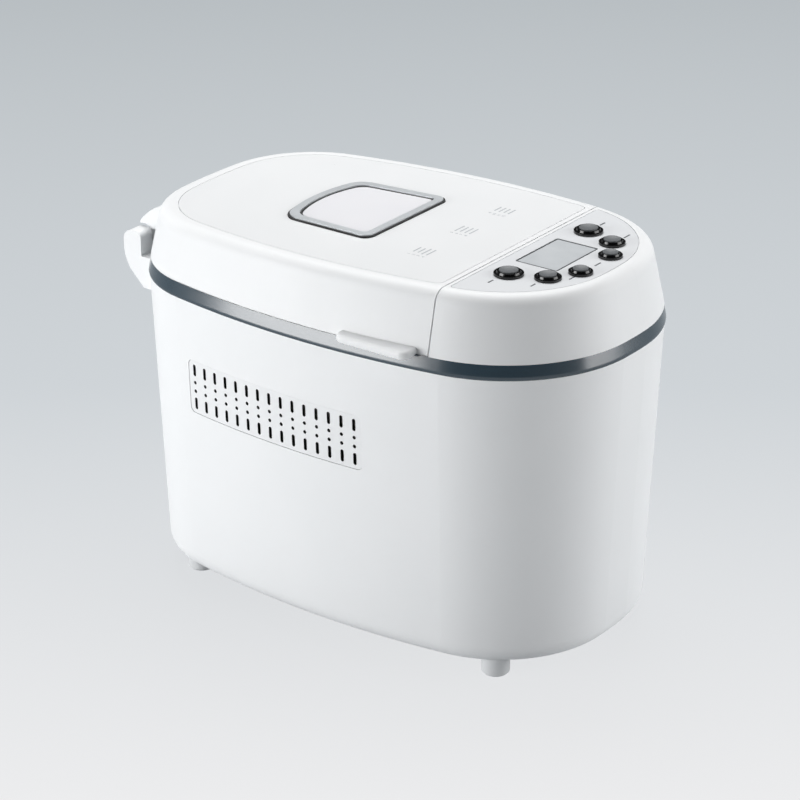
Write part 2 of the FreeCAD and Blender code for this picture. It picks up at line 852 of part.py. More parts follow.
gland_flange = along_y("gland_flange", 0, d.gland_level, d.gland_radius, gland_start, d.gland_length)
gland_barrel = along_y("gland_barrel", 0, d.gland_level, d.gland_bore, gland_start, d.gland_length)
gland_way = along_y("gland_way", 0, d.gland_level, d.gland_hole_radius, gland_start, far / 4)
finish(cut(fuse(cut(gland_flange, lower_outer), gland_barrel), gland_way), "cord_gland")

# Vent grilles: one panel in each side opening, with columns of two slots and two round holes

vent_recess_form = oval_form("vent_recess", shell_top, d.vent_recess, d.wall_height, d.wall_taper, down=True)
grille_ring = cut(vent_recess_form, lower_inner)
perforation = new_body("perforation")
perforation_sketch = new_sketch(perforation, "YZ_Plane")
first_column = d.vent_centre - d.vent_pitch * (d.vent_columns - 1) / 2
for way in (1, -1):
    draw_obround(perforation_sketch, first_column, d.vent_level + way * d.slot_rise, d.slot_length, d.slot_width)
    draw_circle(perforation_sketch, first_column, d.vent_level + way * d.dot_rise, d.slot_width / 2)
column = pad(perforation, perforation_sketch, far, both=True)
columns = perforation.newObject("PartDesign::LinearPattern", "Columns")
columns.Originals = [column]
columns.Direction = (perforation_sketch, ["H_Axis"])
columns.setExpression("Length", (d.vent_pitch * (d.vent_columns - 1)).text)
columns.setExpression("Occurrences", d.vent_columns.text)
perforation.Tip = columns

grille_pair = cut(common(grille_ring, vent_block("vent_panel", d.inlay_gap)), perforation)
for side, x0, x1 in (("left", -far, nothing), ("right", nothing, far)):
    finish(common(grille_pair, box(x0, x1, -far, far, nothing, far)), f"vent_grille_{side}")

# Feet, seated under the rounded edge of the shell

for end, sign, side_inset, end_inset in (
    ("front", -1, d.front_foot_side_inset, d.front_foot_end_inset),
    ("rear", 1, d.rear_foot_side_inset, d.rear_foot_end_inset),
):
    for side, way in (("left", -1), ("right", 1)):
        foot = turned("foot", [
            (0, 0),
            (d.foot_radius - d.foot_edge, 0),
            (d.foot_radius, d.foot_edge),
            (d.foot_radius, d.foot_height + d.foot_sink),
            (0, d.foot_height + d.foot_sink),
        ])
        place(foot, way * (half_width - side_inset), sign * (half_length - end_inset))
        finish(cut(foot, lower_outer), f"foot_{end}_{side}")

# Base plate with posts for the chassis

posts = [(sign * x, y) for sign in (-1, 1) for x, y in (
    (d.side_post_x, -d.side_post_y),
    (d.rear_post_x, d.rear_post_y),
    (d.front_post_x, -d.front_post_y),
)]
base_plate = plate("base_plate", floor_top, d.base_plate_thickness, (draw_oval, d.base_plate_inset))
post_sketch = new_sketch(base_plate, "XY_Plane", base_top)
for x, y in posts:
    draw_circle(post_sketch, x, y, d.post_radius)
pad(base_plate, post_sketch, d.chassis_level - base_top)
screw_way = d.screw_radius + d.screw_gap
drill(base_plate, d.chassis_level, d.screw_length, *[(draw_circle, x, y, screw_way) for x, y in posts])
finish(base_plate, "base_plate")

# Trim band and top deck

trim_band = plate("trim_band", shell_top, d.band_height, (draw_oval, -d.band_proud))
drill(trim_band, rim, d.band_height, (draw_oval, d.band_thickness - d.band_proud))
finish(trim_band, "trim_band")

deck_inset = d.band_thickness - d.band_proud + d.deck_side_gap
chamber_half_width = d.pan_width / 2 + d.chamber_side_gap
chamber_half_length = d.pan_length / 2 + d.chamber_end_gap
top_deck = plate("top_deck", shell_top, d.band_height, (draw_oval, deck_inset))
drill(top_deck, shell_top, d.band_height - d.deck_thickness, (draw_oval, deck_inset + d.deck_skirt), up=True)
drill(top_deck, rim, d.band_height, (
    draw_rounded_rectangle,
    -chamber_half_width - d.deck_opening_gap,
    chamber_half_width + d.deck_opening_gap,
    d.pan_centre - chamber_half_length - d.deck_opening_gap,
    d.pan_centre + chamber_half_length + d.deck_opening_gap,
    d.chamber_corner + d.deck_opening_gap,
))
drill(top_deck, rim, d.band_height, (
    draw_rounded_rectangle,
    -d.front_stud_x, d.front_stud_x, -d.front_stud_y, -d.fascia_rear, d.vent_corner,
))
finish(top_deck, "top_deck")


def centred(half_x, half_y, corner):
    """Arguments of a rounded rectangle about the axis of its own body."""
    return (draw_rounded_rectangle, -half_x, half_x, -half_y, half_y, corner)


# Oven chamber: a deep sheet-metal box that hangs from the deck by its flange and stands on the chassis

chamber_under = d.chamber_floor - d.chamber_sheet
oven_chamber = plate("oven_chamber", chamber_top - d.chamber_sheet, d.chamber_sheet, centred(
    chamber_half_width + d.chamber_flange, chamber_half_length + d.chamber_flange, d.chamber_corner + d.chamber_flange))
chamber_box = new_sketch(oven_chamber, "XY_Plane", chamber_under)
draw_rounded_rectangle(chamber_box, *centred(
    chamber_half_width + d.chamber_sheet, chamber_half_length + d.chamber_sheet,
    d.chamber_corner + d.chamber_sheet)[1:])
pad(oven_chamber, chamber_box, chamber_top - chamber_under)
drill(oven_chamber, chamber_top, chamber_top - d.chamber_floor,
      centred(chamber_half_width, chamber_half_length, d.chamber_corner))
drill(oven_chamber, d.chamber_floor, far, (draw_circle, 0, 0, d.coupling_hole_radius))
lead_holes = new_sketch(oven_chamber, "XZ_Plane")
for way in (-1, 1):
    draw_circle(lead_holes, way * d.heater_lead_x, d.heater_level, d.heater_wire / 2 + d.moving_gap)
pocket(oven_chamber, lead_holes, far)
sensor_hole = new_sketch(oven_chamber, "XZ_Plane")
draw_circle(sensor_hole, d.sensor_x, d.sensor_level, d.sensor_radius + d.moving_gap)
pocket(oven_chamber, sensor_hole, far, up=True)
finish(oven_chamber, "oven_chamber", y=d.pan_centre)

# Heater: one tubular element low around the pan, with both leads through the rear wall of the chamber

heater_x = chamber_half_width - d.heater_wall_gap - d.heater_wire / 2
heater_y = chamber_half_length - d.heater_wall_gap - d.heater_wire / 2
lead_end = chamber_half_length + d.heater_lead_length
heater_element = swept(
    "heater_element",
    "XZ_Plane", -lead_end, (-d.heater_lead_x, d.heater_level, d.heater_wire / 2),
    d.heater_level,
    [
        (-d.heater_lead_x, lead_end),
        (-d.heater_lead_x, heater_y),
        (-heater_x, heater_y),
        (-heater_x, -heater_y),
        (heater_x, -heater_y),
        (heater_x, heater_y),
        (d.heater_lead_x, heater_y),
        (d.heater_lead_x, lead_end),
    ],
    [d.heater_lead_bend] + [d.heater_corner] * 4 + [d.heater_lead_bend],
)
finish(heater_element, "heater_element", y=d.pan_centre)

# Temperature sensor: a probe through the front wall of the chamber, with its head outside

chamber_front = -chamber_half_length - d.chamber_sheet
probe = along_y("probe", d.sensor_x, d.sensor_level, d.sensor_radius, chamber_front - d.sensor_head_length,
                d.sensor_head_length + d.chamber_sheet + d.sensor_reach)
probe_head = along_y("probe_head", d.sensor_x, d.sensor_level, d.sensor_head_radius,
                     chamber_front - d.sensor_head_length, d.sensor_head_length)
finish(fuse(probe, probe_head), "temperature_sensor", y=d.pan_centre)

# Chassis plate, with spacers that the oven chamber stands on

spacers = [(sx * d.spacer_x, d.pan_centre + sy * d.spacer_y) for sx in (-1, 1) for sy in (-1, 1)]
motor_screws = [(sx * d.motor_screw_x, sy * d.motor_screw_y) for sx in (-1, 1) for sy in (-1, 1)]
chassis_plate = plate("chassis_plate", d.chassis_level, d.chassis_thickness, (draw_oval, d.chassis_inset))
spacer_sketch = new_sketch(chassis_plate, "XY_Plane", chassis_top)
for x, y in spacers:
    draw_circle(spacer_sketch, x, y, d.spacer_radius)
pad(chassis_plate, spacer_sketch, chamber_under - chassis_top)
drill(
    chassis_plate, chassis_top, d.chassis_thickness,
    (draw_circle, 0, d.pan_centre, d.bearing_radius + d.screw_gap),
    (draw_circle, 0, -d.motor_reach, d.motor_shaft_hole),
    *[(draw_circle, x, y, screw_way) for x, y in posts],
    *[(draw_circle, x, y - d.motor_reach, screw_way) for x, y in motor_screws],
)
finish(chassis_plate, "chassis_plate")


def screw(x, y, seat, length, up=False):
    """A pan-head screw with its head on a seat, pointing down, or up from below."""
    way = 1 if up else -1
    shank = turned("screw", [
        (0, way * length),
        (d.screw_radius, way * length),
        (d.screw_radius, 0),
        (d.screw_head_radius, 0),
        (d.screw_head_radius, -way * d.screw_head_height),
        (0, -way * d.screw_head_height),
    ])
    return place(shank, x, y, seat)


finish(group(*[screw(x, y, chassis_top, d.screw_length) for x, y in posts]), "chassis_screws")

# Drive bearing, shaft, coupling and large pulley, all on the axis of the pan

bore = d.shaft_radius + d.running_gap
bearing_housing = turned("bearing_housing", [
    (bore, d.chassis_level - d.bearing_drop),
    (d.bearing_radius, d.chassis_level - d.bearing_drop),
    (d.bearing_radius, chassis_top),
    (d.bearing_flange_radius, chassis_top),
    (d.bearing_flange_radius, chassis_top + d.bearing_flange_height),
    (d.bearing_radius, chassis_top + d.bearing_flange_height),
    (d.bearing_radius, chassis_top + d.bearing_rise),
    (bore, chassis_top + d.bearing_rise),
])
finish(bearing_housing, "bearing_housing", y=d.pan_centre)

coupling_top = d.coupling_bottom + d.coupling_height
drive_shaft = turned("drive_shaft", [
    (0, d.drive_shaft_bottom),
    (d.shaft_radius, d.drive_shaft_bottom),
    (d.shaft_radius, coupling_top - d.dog_gap),
    (0, coupling_top - d.dog_gap),
])
finish(drive_shaft, "drive_shaft", y=d.pan_centre)

drive_coupling = turned("drive_coupling", [
    (d.shaft_radius, d.coupling_bottom),
    (d.coupling_radius, d.coupling_bottom),
    (d.coupling_radius, coupling_top),
    (d.shaft_radius, coupling_top),
])
dog_sketch = new_sketch(drive_coupling, "XY_Plane", coupling_top)
for way in (-1, 1):
    inner, outer = way * (d.dog_reach - d.dog_thickness), way * d.dog_reach
    draw_rectangle(dog_sketch, inner, outer, -d.dog_width / 2, d.dog_width / 2)
pad(drive_coupling, dog_sketch, d.dog_height)
finish(drive_coupling, "drive_coupling", y=d.pan_centre)

pulley_top = d.pulley_bottom + d.pulley_width
pulley_middle = d.pulley_bottom + d.pulley_width / 2


def pulley_face(radius):
    """The outer side of a flanged flat-belt pulley, from its bottom to its top."""
    flange = radius + d.pulley_flange_rise
    return [
        (flange, d.pulley_bottom),
        (flange, d.pulley_bottom + d.pulley_flange),
        (radius, d.pulley_bottom + d.pulley_flange),
        (radius, pulley_top - d.pulley_flange),
        (flange, pulley_top - d.pulley_flange),
        (flange, pulley_top),
    ]


rim_inner = d.large_pulley_radius - d.large_rim
web_low, web_high = pulley_middle - d.large_web / 2, pulley_middle + d.large_web / 2
large_pulley = turned("large_pulley", [
    (d.shaft_radius, d.pulley_bottom),
    (d.large_hub_radius, d.pulley_bottom),
    (d.large_hub_radius, web_low),
    (rim_inner, web_low),
    (rim_inner, d.pulley_bottom),
    *pulley_face(d.large_pulley_radius),
    (rim_inner, pulley_top),
    (rim_inner, web_high),
    (d.large_hub_radius, web_high),
    (d.large_hub_radius, pulley_top),
    (d.shaft_radius, pulley_top),
])
finish(large_pulley, "large_pulley", y=d.pan_centre)

motor_pulley = turned("motor_pulley", [
    (d.motor_shaft_radius, d.pulley_bottom),
    *pulley_face(d.small_pulley_radius),
    (d.motor_shaft_radius, pulley_top),
])
finish(motor_pulley, "motor_pulley", y=-d.motor_reach)
finish(cylinder(0, 0, 0, d.motor_shaft_radius, d.motor_shaft_length), "motor_shaft",
       y=-d.motor_reach, z=d.motor_shaft_bottom)


def draw_belt_loop(sketch, distance, large, small):
    """A belt line round two pulleys: the large one at the origin and the small one in front of it."""
    lean = math.asin((large.value - small.value) / distance.value)
    contact_x, contact_y = math.cos(lean), -math.sin(lean)
    rear = add_arc(sketch, 0, 0, large.value, -lean, math.pi + lean)
    front = add_arc(sketch, 0, -distance.value, small.value, math.pi + lean, 2 * math.pi - lean)
    runs = []
    for way in (-1, 1):
        start = (way * contact_x * large.value, contact_y * large.value)
        end = (way * contact_x * small.value, contact_y * small.value - distance.value)
        runs.append(add_line(sketch, *start, *end) if way < 0 else add_line(sketch, *end, *start))
    left, right = runs
    for first, second in ((rear, left), (left, front), (front, right), (right, rear)):
        sketch.addConstraint(Sketcher.Constraint("Tangent", first, 2, second, 1))
    pin_down(sketch, rear, 3, 0, 0)
    pin_down(sketch, front, 3, 0, -distance)
    bind(sketch, large, "Radius", rear)
    bind(sketch, small, "Radius", front)


belt_run = d.pan_centre + d.motor_reach
belt_low = pulley_middle - d.belt_width / 2
inside = (draw_belt_loop, belt_run, d.large_pulley_radius + d.moving_gap, d.small_pulley_radius + d.moving_gap)
outside = (draw_belt_loop, belt_run, inside[2] + d.belt_thickness, inside[3] + d.belt_thickness)
drive_belt = plate("drive_belt", belt_low, d.belt_width, outside)
drill(drive_belt, belt_low + d.belt_width, d.belt_width, inside)
finish(drive_belt, "drive_belt", y=d.pan_centre)

# Motor, standing on the chassis with its shaft down through it

flange_top = chassis_top + d.motor_flange_thickness
stack_low = flange_top + d.motor_bell_height
stack_high = stack_low + d.motor_stack_height
drive_motor = plate("drive_motor", chassis_top, d.motor_flange_thickness, centred(
    d.motor_flange_width / 2, d.motor_flange_length / 2, d.motor_stack_corner))
for level, height, drawing in (
    (flange_top, d.motor_bell_height, (draw_circle, 0, 0, d.motor_bell_radius)),
    (stack_low, d.motor_stack_height, centred(d.motor_stack_width / 2, d.motor_stack_width / 2, d.motor_stack_corner)),
    (stack_high, d.motor_cap_height, (draw_circle, 0, 0, d.motor_bell_radius)),
):
    layer = new_sketch(drive_motor, "XY_Plane", level)
    drawing[0](layer, *drawing[1:])
    pad(drive_motor, layer, height)
motor_bore_top = d.motor_shaft_bottom + d.motor_shaft_length + d.moving_gap
drill(drive_motor, chassis_top, motor_bore_top - chassis_top,
      (draw_circle, 0, 0, d.motor_shaft_radius + d.running_gap), up=True)
drill(drive_motor, flange_top, d.motor_flange_thickness, *[(draw_circle, x, y, screw_way) for x, y in motor_screws])
finish(drive_motor, "drive_motor", y=-d.motor_reach)
screw_reach = d.motor_flange_thickness + d.chassis_thickness + d.screw_head_height
finish(group(*[screw(x, y, flange_top, screw_reach) for x, y in motor_screws]), "motor_screws", y=-d.motor_reach)

# Capacitor and power board beside the motor, both standing on the chassis

finish(cylinder(0, 0, 0, d.capacitor_radius, d.capacitor_height), "motor_capacitor",
       x=-d.capacitor_x, y=-d.capacitor_y, z=chassis_top)


def board_part(height, length, depth, lift, shift):
    """A component on the inner face of the power board."""
    middle = shift - d.power_board_y
    return box(d.power_board_x - depth, d.power_board_x, middle - length / 2, middle + length / 2,
               chassis_top + lift, chassis_top + lift + height)


power_panel = box(
    d.power_board_x, d.power_board_x + d.board_thickness,
    -d.power_board_y - d.power_board_length / 2, -d.power_board_y + d.power_board_length / 2,
    chassis_top, chassis_top + d.power_board_height)
relay = board_part(d.relay_height, d.relay_length, d.relay_depth, d.relay_lift, -d.relay_length / 2)
transformer = board_part(d.transformer_height, d.transformer_length, d.transformer_depth, d.transformer_lift, nothing)
finish(fuse(power_panel, relay, transformer), "power_board")

# Pan seat: the ring on the chamber floor that the foot of the pan drops into

seat_bore = d.base_ring_radius + d.moving_gap
pan_seat = turned("pan_seat", [
    (seat_bore, d.chamber_floor),
    (d.seat_radius, d.chamber_floor),
    (d.seat_radius, d.chamber_floor + d.seat_height),
    (seat_bore, d.chamber_floor + d.seat_height),
])
finish(pan_seat, "pan_seat", y=d.pan_centre)

# Bread pan: a tapered deep-drawn box with a rolled rim and two lugs for the bail

pan_half_width = d.pan_width / 2
pan_half_length = d.pan_length / 2
bail_level = pan_rim + d.bail_rim_gap + d.bail_wire / 2


def pan_form(name, level, inset, height):
    body = new_body(name)
    sketch = new_sketch(body, "XY_Plane", level)
    draw_rounded_rectangle(sketch, *centred(pan_half_width - inset, pan_half_length - inset, d.pan_corner - inset)[1:])
    block = pad(body, sketch, height, down=True)
    block.setExpression("TaperAngle", f"-atan({d.pan_taper.text} / {d.pan_height.text})")
    return body


pan_outer = pan_form("pan_outer", pan_rim, nothing, d.pan_height)
rim_sketch = new_sketch(pan_outer, "XY_Plane", pan_rim)
draw_rounded_rectangle(rim_sketch, *centred(
    pan_half_width + d.rim_width, pan_half_length + d.rim_width, d.pan_corner + d.rim_width)[1:])
pad(pan_outer, rim_sketch, d.rim_thickness, down=True)
pan_inner = pan_form("pan_inner", pan_rim, d.pan_wall, d.pan_height - d.pan_floor)
lugs = new_body("pan_lugs")
lug_sketch = new_sketch(lugs, "XZ_Plane")
draw_rounded_rectangle(lug_sketch, -d.lug_width / 2, d.lug_width / 2,
                       pan_rim - d.lug_corner - d.rim_thickness, pan_rim + d.lug_height, d.lug_corner)
draw_circle(lug_sketch, 0, bail_level, d.bail_wire / 2 + d.running_gap)
pad(lugs, lug_sketch, d.pan_length, both=True)
lug_inside = pan_half_length - d.lug_thickness
lug_gap = box(-far, far, -lug_inside, lug_inside, nothing, far)
pan_hole = cylinder(0, 0, 0, d.pan_bearing_radius, pan_rim)
bread_pan = cut(fuse(cut(pan_outer, pan_inner), cut(lugs, lug_gap, pan_inner)), pan_hole)
finish(bread_pan, "bread_pan", y=d.pan_centre)

pan_inside = d.pan_bottom + d.pan_floor
pan_bearing = turned("pan_bearing", [
    (bore, d.pan_bottom - d.pan_bearing_drop),
    (d.pan_bearing_collar, d.pan_bottom - d.pan_bearing_drop),
    (d.pan_bearing_collar, d.pan_bottom),
    (d.pan_bearing_radius, d.pan_bottom),
    (d.pan_bearing_radius, d.pan_bottom + d.pan_bearing_height),
    (bore, d.pan_bottom + d.pan_bearing_height),
])
finish(pan_bearing, "pan_bearing", y=d.pan_centre)

ring_bottom = d.chamber_floor + d.moving_gap
pan_base_ring = turned("pan_base_ring", [
    (d.base_ring_radius - d.base_ring_wall, ring_bottom),
    (d.base_ring_radius, ring_bottom),
    (d.base_ring_radius, d.pan_bottom),
    (d.base_ring_radius - d.base_ring_wall, d.pan_bottom),
])
finish(pan_base_ring, "pan_base_ring", y=d.pan_centre)

# Bail: one bent wire, its ends turned inwards through the lugs

bail_end = pan_half_length + d.bail_end_gap + d.bail_wire / 2
bail_reach = pan_half_width + d.bail_side_gap
stub_end = lug_inside - d.bail_stub
pan_handle = swept(
    "pan_handle",
    "XZ_Plane", -stub_end, (0, bail_level, d.bail_wire / 2),
    bail_level,
    [
        (0, stub_end),
        (0, bail_end),
        (bail_reach, bail_end),
        (bail_reach, -bail_end),
        (0, -bail_end),
        (0, -stub_end),
    ],
    [d.bail_end_bend, d.bail_corner, d.bail_corner, d.bail_end_bend],
)
finish(pan_handle, "pan_handle", y=d.pan_centre)

# Pan shaft with its cross driver between the dogs, and the paddle that drops over it

driver_low = coupling_top + d.dog_gap
driver_high = driver_low + d.driver_height
shaft_top = pan_inside + d.pan_shaft_rise
pan_shaft = turned("pan_shaft", [
    (0, driver_low),
    (d.shaft_radius, driver_low),
    (d.shaft_radius, shaft_top),
    (0, shaft_top),
])
driver = new_sketch(pan_shaft, "XY_Plane", driver_low)
draw_rounded_rectangle(driver, -d.driver_width / 2, d.driver_width / 2, -d.driver_length / 2, d.driver_length / 2,
                       d.dog_gap)
pad(pan_shaft, driver, d.driver_height)
finish(pan_shaft, "pan_shaft", y=d.pan_centre)

paddle_low = d.pan_bottom + d.pan_bearing_height + d.paddle_floor_gap
paddle_high = paddle_low + d.paddle_height
kneading_paddle = turned("kneading_paddle", [
    (0, paddle_low),
    (d.paddle_hub_radius, paddle_low),
    (d.paddle_hub_top_radius, paddle_high),
    (0, paddle_high),
])
blade = new_sketch(kneading_paddle, "XZ_Plane", d.shaft_radius + d.paddle_thickness / 2)
draw_polygon(blade, [
    (0, paddle_low),
    (d.paddle_length, paddle_low),
    (d.paddle_length, paddle_low + d.paddle_tip_height),
    (0, paddle_low + d.paddle_blade_height),
])
pad(kneading_paddle, blade, d.paddle_thickness, down=True)
fillet(kneading_paddle, d.paddle_thickness, lambda edge: (
    edge.YLength > 1e-3 and edge.XLength < 1e-3 and edge.ZLength < 1e-3
    and abs(edge.XMax - d.paddle_length.value) < 1e-3))
drill(kneading_paddle, paddle_high, d.paddle_height, (draw_circle, 0, 0, d.shaft_radius))
finish(kneading_paddle, "kneading_paddle", y=d.pan_centre)

# Crown: the lid and the control head are cut from one tapered form, with a narrow seam between them


def crown_part(outer, inner, front, rear, bottom, wall_front, wall_rear):
    """A hollow length of the crown between two places, open below."""
    outside = common(outer, box(-far, far, front, rear, bottom, far))
    return cut(outside, common(inner, box(-far, far, wall_front, wall_rear, nothing, far)))


def flat_inlay(name, level, height, inset, edge, corner, gap, to_front):
    """The flat of the crown on one side of a straight edge, with the cut corners rounded."""
    body = plate(name, level, height, (draw_oval, inset + gap))
    edge = edge - gap if to_front else edge + gap
    limits = (edge, far) if to_front else (-far, edge)
    drill(body, level + height, height, (draw_rectangle, -far, far, *limits))
    fillet(body, corner - gap, lambda bounds: upright(bounds) and abs(bounds.YMin - edge.value) < 1e-3)
    return body


def fascia_inlay(name, height, gap):
    return flat_inlay(name, inlay_level, height, d.fascia_inset, -d.fascia_rear, d.fascia_corner, gap, True)


def panel_inlay(name, height, gap):
    return flat_inlay(name, inlay_level, height, d.panel_inset, -d.panel_front, d.panel_corner, gap, False)


inlay_level = top - d.panel_depth
ceiling = top - d.wall
mid_wall = ceiling + (inlay_level - ceiling) / 2

# Control head, with its board studs, display opening and button holes

board_top = top - d.board_drop + d.board_thickness
buttons = []
for place_name, x, y, diameter in (
    ("outer", d.outer_button_x, d.outer_button_y, d.outer_bezel_diameter),
    ("middle", d.middle_button_x, d.middle_button_y, d.middle_bezel_diameter),
    ("inner", d.inner_button_x, d.inner_button_y, d.inner_bezel_diameter),
):
    for side, way in (("left", -1), ("right", 1)):
        buttons.append((f"button_{place_name}_{side}", way * x, -y, diameter / 2))


def cap_radius(bezel_radius):
    return d.cap_share * bezel_radius


def display_area(margin):
    half_x, half_y = d.display_width / 2 + margin, d.display_length / 2 + margin
    return (draw_rounded_rectangle, -half_x, half_x, -d.display_centre - half_y, half_y - d.display_centre,
            d.display_corner)


button_holes = [(draw_circle, x, y, cap_radius(radius) + d.moving_gap) for _, x, y, radius in buttons]
head_holes = plate("head_holes", board_top, d.board_drop, display_area(-d.display_ledge), *button_holes)
fascia_seat = fascia_inlay("fascia_seat", d.board_drop, nothing)
studs = [
    cylinder(way * x, -y, board_top, d.stud_radius, mid_wall - board_top)
    for x, y in ((d.rear_stud_x, d.rear_stud_y), (d.front_stud_x, d.front_stud_y))
    for way in (-1, 1)
]
head = crown_part(crown_outer, crown_inner, -far, head_rear, nothing, -far, head_rear - d.wall)
finish(fuse(cut(head, fascia_seat, head_holes), *studs), "control_head")

control_fascia = fascia_inlay("control_fascia", d.panel_depth, d.groove_gap)
drill(control_fascia, top, d.panel_depth, display_area(nothing), *button_holes)
finish(control_fascia, "control_fascia")
finish(plate("display_lens", inlay_level, d.lens_thickness, display_area(-d.inlay_gap)), "display_lens")
display_module = plate("display_module", board_top, ceiling - board_top, display_area(nothing))
screen_sketch = new_sketch(display_module, "XY_Plane", ceiling)
screen_area = display_area(-d.display_ledge - d.moving_gap)
screen_area[0](screen_sketch, *screen_area[1:])
pad(display_module, screen_sketch, inlay_level - ceiling)
finish(display_module, "display_module")
control_board = plate("control_board", board_top - d.board_thickness, d.board_thickness, (draw_oval, d.board_inset))
drill(control_board, board_top, d.board_thickness, (draw_rectangle, -far, far, -d.board_rear, far))
finish(control_board, "control_board")

# Buttons: a stepped bezel on the fascia, and a captive dished cap above a switch on the board

tact_top = board_top + d.tact_height
plunger_top = tact_top + d.tact_plunger
bezels = []
switches = []
for name, x, y, radius in buttons:
    cap = cap_radius(radius)
    step = radius - d.bezel_rim
    bezel = turned("bezel", [
        (cap + d.moving_gap, top),
        (radius, top),
        (radius, top + d.bezel_step),
        (step, top + d.bezel_step),
        (step - d.cap_edge, top + d.bezel_height),
        (cap + d.moving_gap, top + d.bezel_height),
    ])
    bezels.append(place(bezel, x, y))

    half = d.tact_size / 2
    switch_case = box(x - half, x + half, y - half, y + half, board_top, tact_top)
    switches.append(fuse(switch_case, cylinder(x, y, tact_top, d.tact_plunger_radius, d.tact_plunger)))

    flange_high = ceiling - d.moving_gap
    flange_low = flange_high - d.cap_flange_thickness
    stem_low = plunger_top + d.button_travel + d.button_slack
    cap_top = top + d.cap_proud
    plunger = turned("plunger", [
        (0, stem_low),
        (d.stem_radius, stem_low),
        (d.stem_radius, flange_low),
        (cap + d.cap_flange, flange_low),
        (cap + d.cap_flange, flange_high),
        (cap, flange_high),
        (cap, cap_top - d.cap_edge / 2),
        (cap - d.cap_edge / 2, cap_top),
        (0, cap_top),
    ])
    rim_radius = cap - d.cap_edge
    dish_radius = (rim_radius * rim_radius + d.cap_dish_depth * d.cap_dish_depth) / (2 * d.cap_dish_depth)
    dish = sphere(0, 0, cap_top + dish_radius - d.cap_dish_depth, dish_radius)
    finish(cut(plunger, dish), name, x=x, y=y)

finish(group(*bezels), "button_bezels")
finish(group(*switches), "tact_switches")

# Lid shell, with its inlay seat, window opening, screw bosses and side lift lips


def window_block(name, level, height, inset):
    body = plate(name, level, height, (draw_window, inset))
    front, shoulder = (inset - d.window_front).value, (d.window_shoulder - inset).value
    for line, corner in ((front, d.window_front_corner), (shoulder, d.window_rear_corner)):
        radius = corner - d.window_corner_share * inset
        fillet(body, radius, lambda bounds: upright(bounds) and abs(bounds.YMin - line) < 1e-3)
    return body


def lid_level(level, y):
    """The height of a level of the lid top, followed down its slope to a place."""
    return level - lid_fall * (y - lid_front)


def sloped_crown(name, inset, level, radius):
    """The crown cut off by the slope of the lid top, with its upper edge rounded."""
    height = d.crown_height + d.lid_spare
    body = oval_form(name, rim, d.crown_setback + inset, height, d.crown_taper * height / d.crown_height)
    sketch = new_sketch(body, "YZ_Plane")
    draw_polygon(sketch, [
        (-d.body_length, lid_level(level, -d.body_length)),
        (d.body_length, lid_level(level, d.body_length)),
        (d.body_length, far),
        (-d.body_length, far),
    ])
    pocket(body, sketch, far, both=True)
    fillet(body, radius, lambda bounds: bounds.ZMin > (rim + d.crown_height / 2).value)
    return body


gasket_inset = 2 * d.gasket_margin + d.frame_width
liner_top = liner_level + d.liner_sheet
boss_x = chamber_half_width + d.liner_margin + d.boss_margin
bosses = [(sx * boss_x, d.pan_centre + sy * d.boss_spread) for sx in (-1, 1) for sy in (-1, 1)]

lid_outer = sloped_crown("lid_outer", nothing, top, d.crown_fillet)
lid_inner = sloped_crown("lid_inner", d.wall, ceiling, d.crown_fillet - d.wall)
lid_form = crown_part(lid_outer, lid_inner, lid_front, far, lid_bottom, lid_front + d.wall, far)
panel_seat = lean(panel_inlay("panel_seat", d.board_drop, nothing))
window_opening = lean(window_block("window_opening", liner_top, d.crown_height, gasket_inset + d.glass_ledge))
boss_posts = [cylinder(x, y, liner_top, d.boss_radius, lid_level(mid_wall, y) - liner_top) for x, y in bosses]
boss_bores = group(*[cylinder(x, y, nothing, screw_way, liner_level + d.screw_length) for x, y in bosses])

lip_bottom = rim - d.lip_drop
lip_pair = []
for way in (-1, 1):
    root, reach = way * (half_width - d.lip_root), way * (half_width + d.lip_reach)
    x0, x1 = (root, reach) if way > 0 else (reach, root)
    lip = plate("lip", lip_bottom, d.lip_height, (
        draw_rounded_rectangle, x0, x1, -d.lip_front, -d.lip_rear, d.lip_corner))
    for level in (lip_bottom, lip_bottom + d.lip_height):
        fillet(lip, d.lip_edge, at_level(level))
    lip_pair.append(lip)
lip_core = plate("lip_core", nothing, far, (draw_oval, d.crown_setback + d.wall / 2))
band_way = plate("band_way", nothing, lid_bottom, (draw_oval, -d.band_proud - d.lip_band_gap))
lips = cut(group(*lip_pair), lip_core, band_way)

lid_shell = cut(fuse(cut(lid_form, panel_seat, window_opening), lips, *boss_posts), boss_bores)
finish(lid_shell, "lid_shell")

# Lid panel and window, each laid on the one below it

panel_sheet = panel_inlay("panel_sheet", d.panel_depth, d.groove_gap)
panel_opening = window_block("panel_opening", inlay_level - d.wall, 2 * d.wall, -d.inlay_gap)
finish(cut(panel_sheet, panel_opening), "lid_panel", on_lid_top=True)


def window_ring(name, level, height, outer, inner):
    opening = window_block(f"{name}_opening", level - d.wall, height + 2 * d.wall, inner)
    finish(cut(window_block(f"{name}_outline", level, height, outer), opening), name, on_lid_top=True)


gasket_top = top + d.gasket_proud
window_ring("window_gasket", inlay_level, gasket_top - inlay_level, nothing, gasket_inset)
window_ring("window_frame", gasket_top, d.frame_height, d.gasket_margin, d.gasket_margin + d.frame_width)
window_glass = window_block("window_glass", inlay_level, d.glass_thickness, gasket_inset + d.inlay_gap)
finish(window_glass, "window_glass", on_lid_top=True)

# Lid liner: a flange under the lid and a dome over the oven, with an inner pane above its window


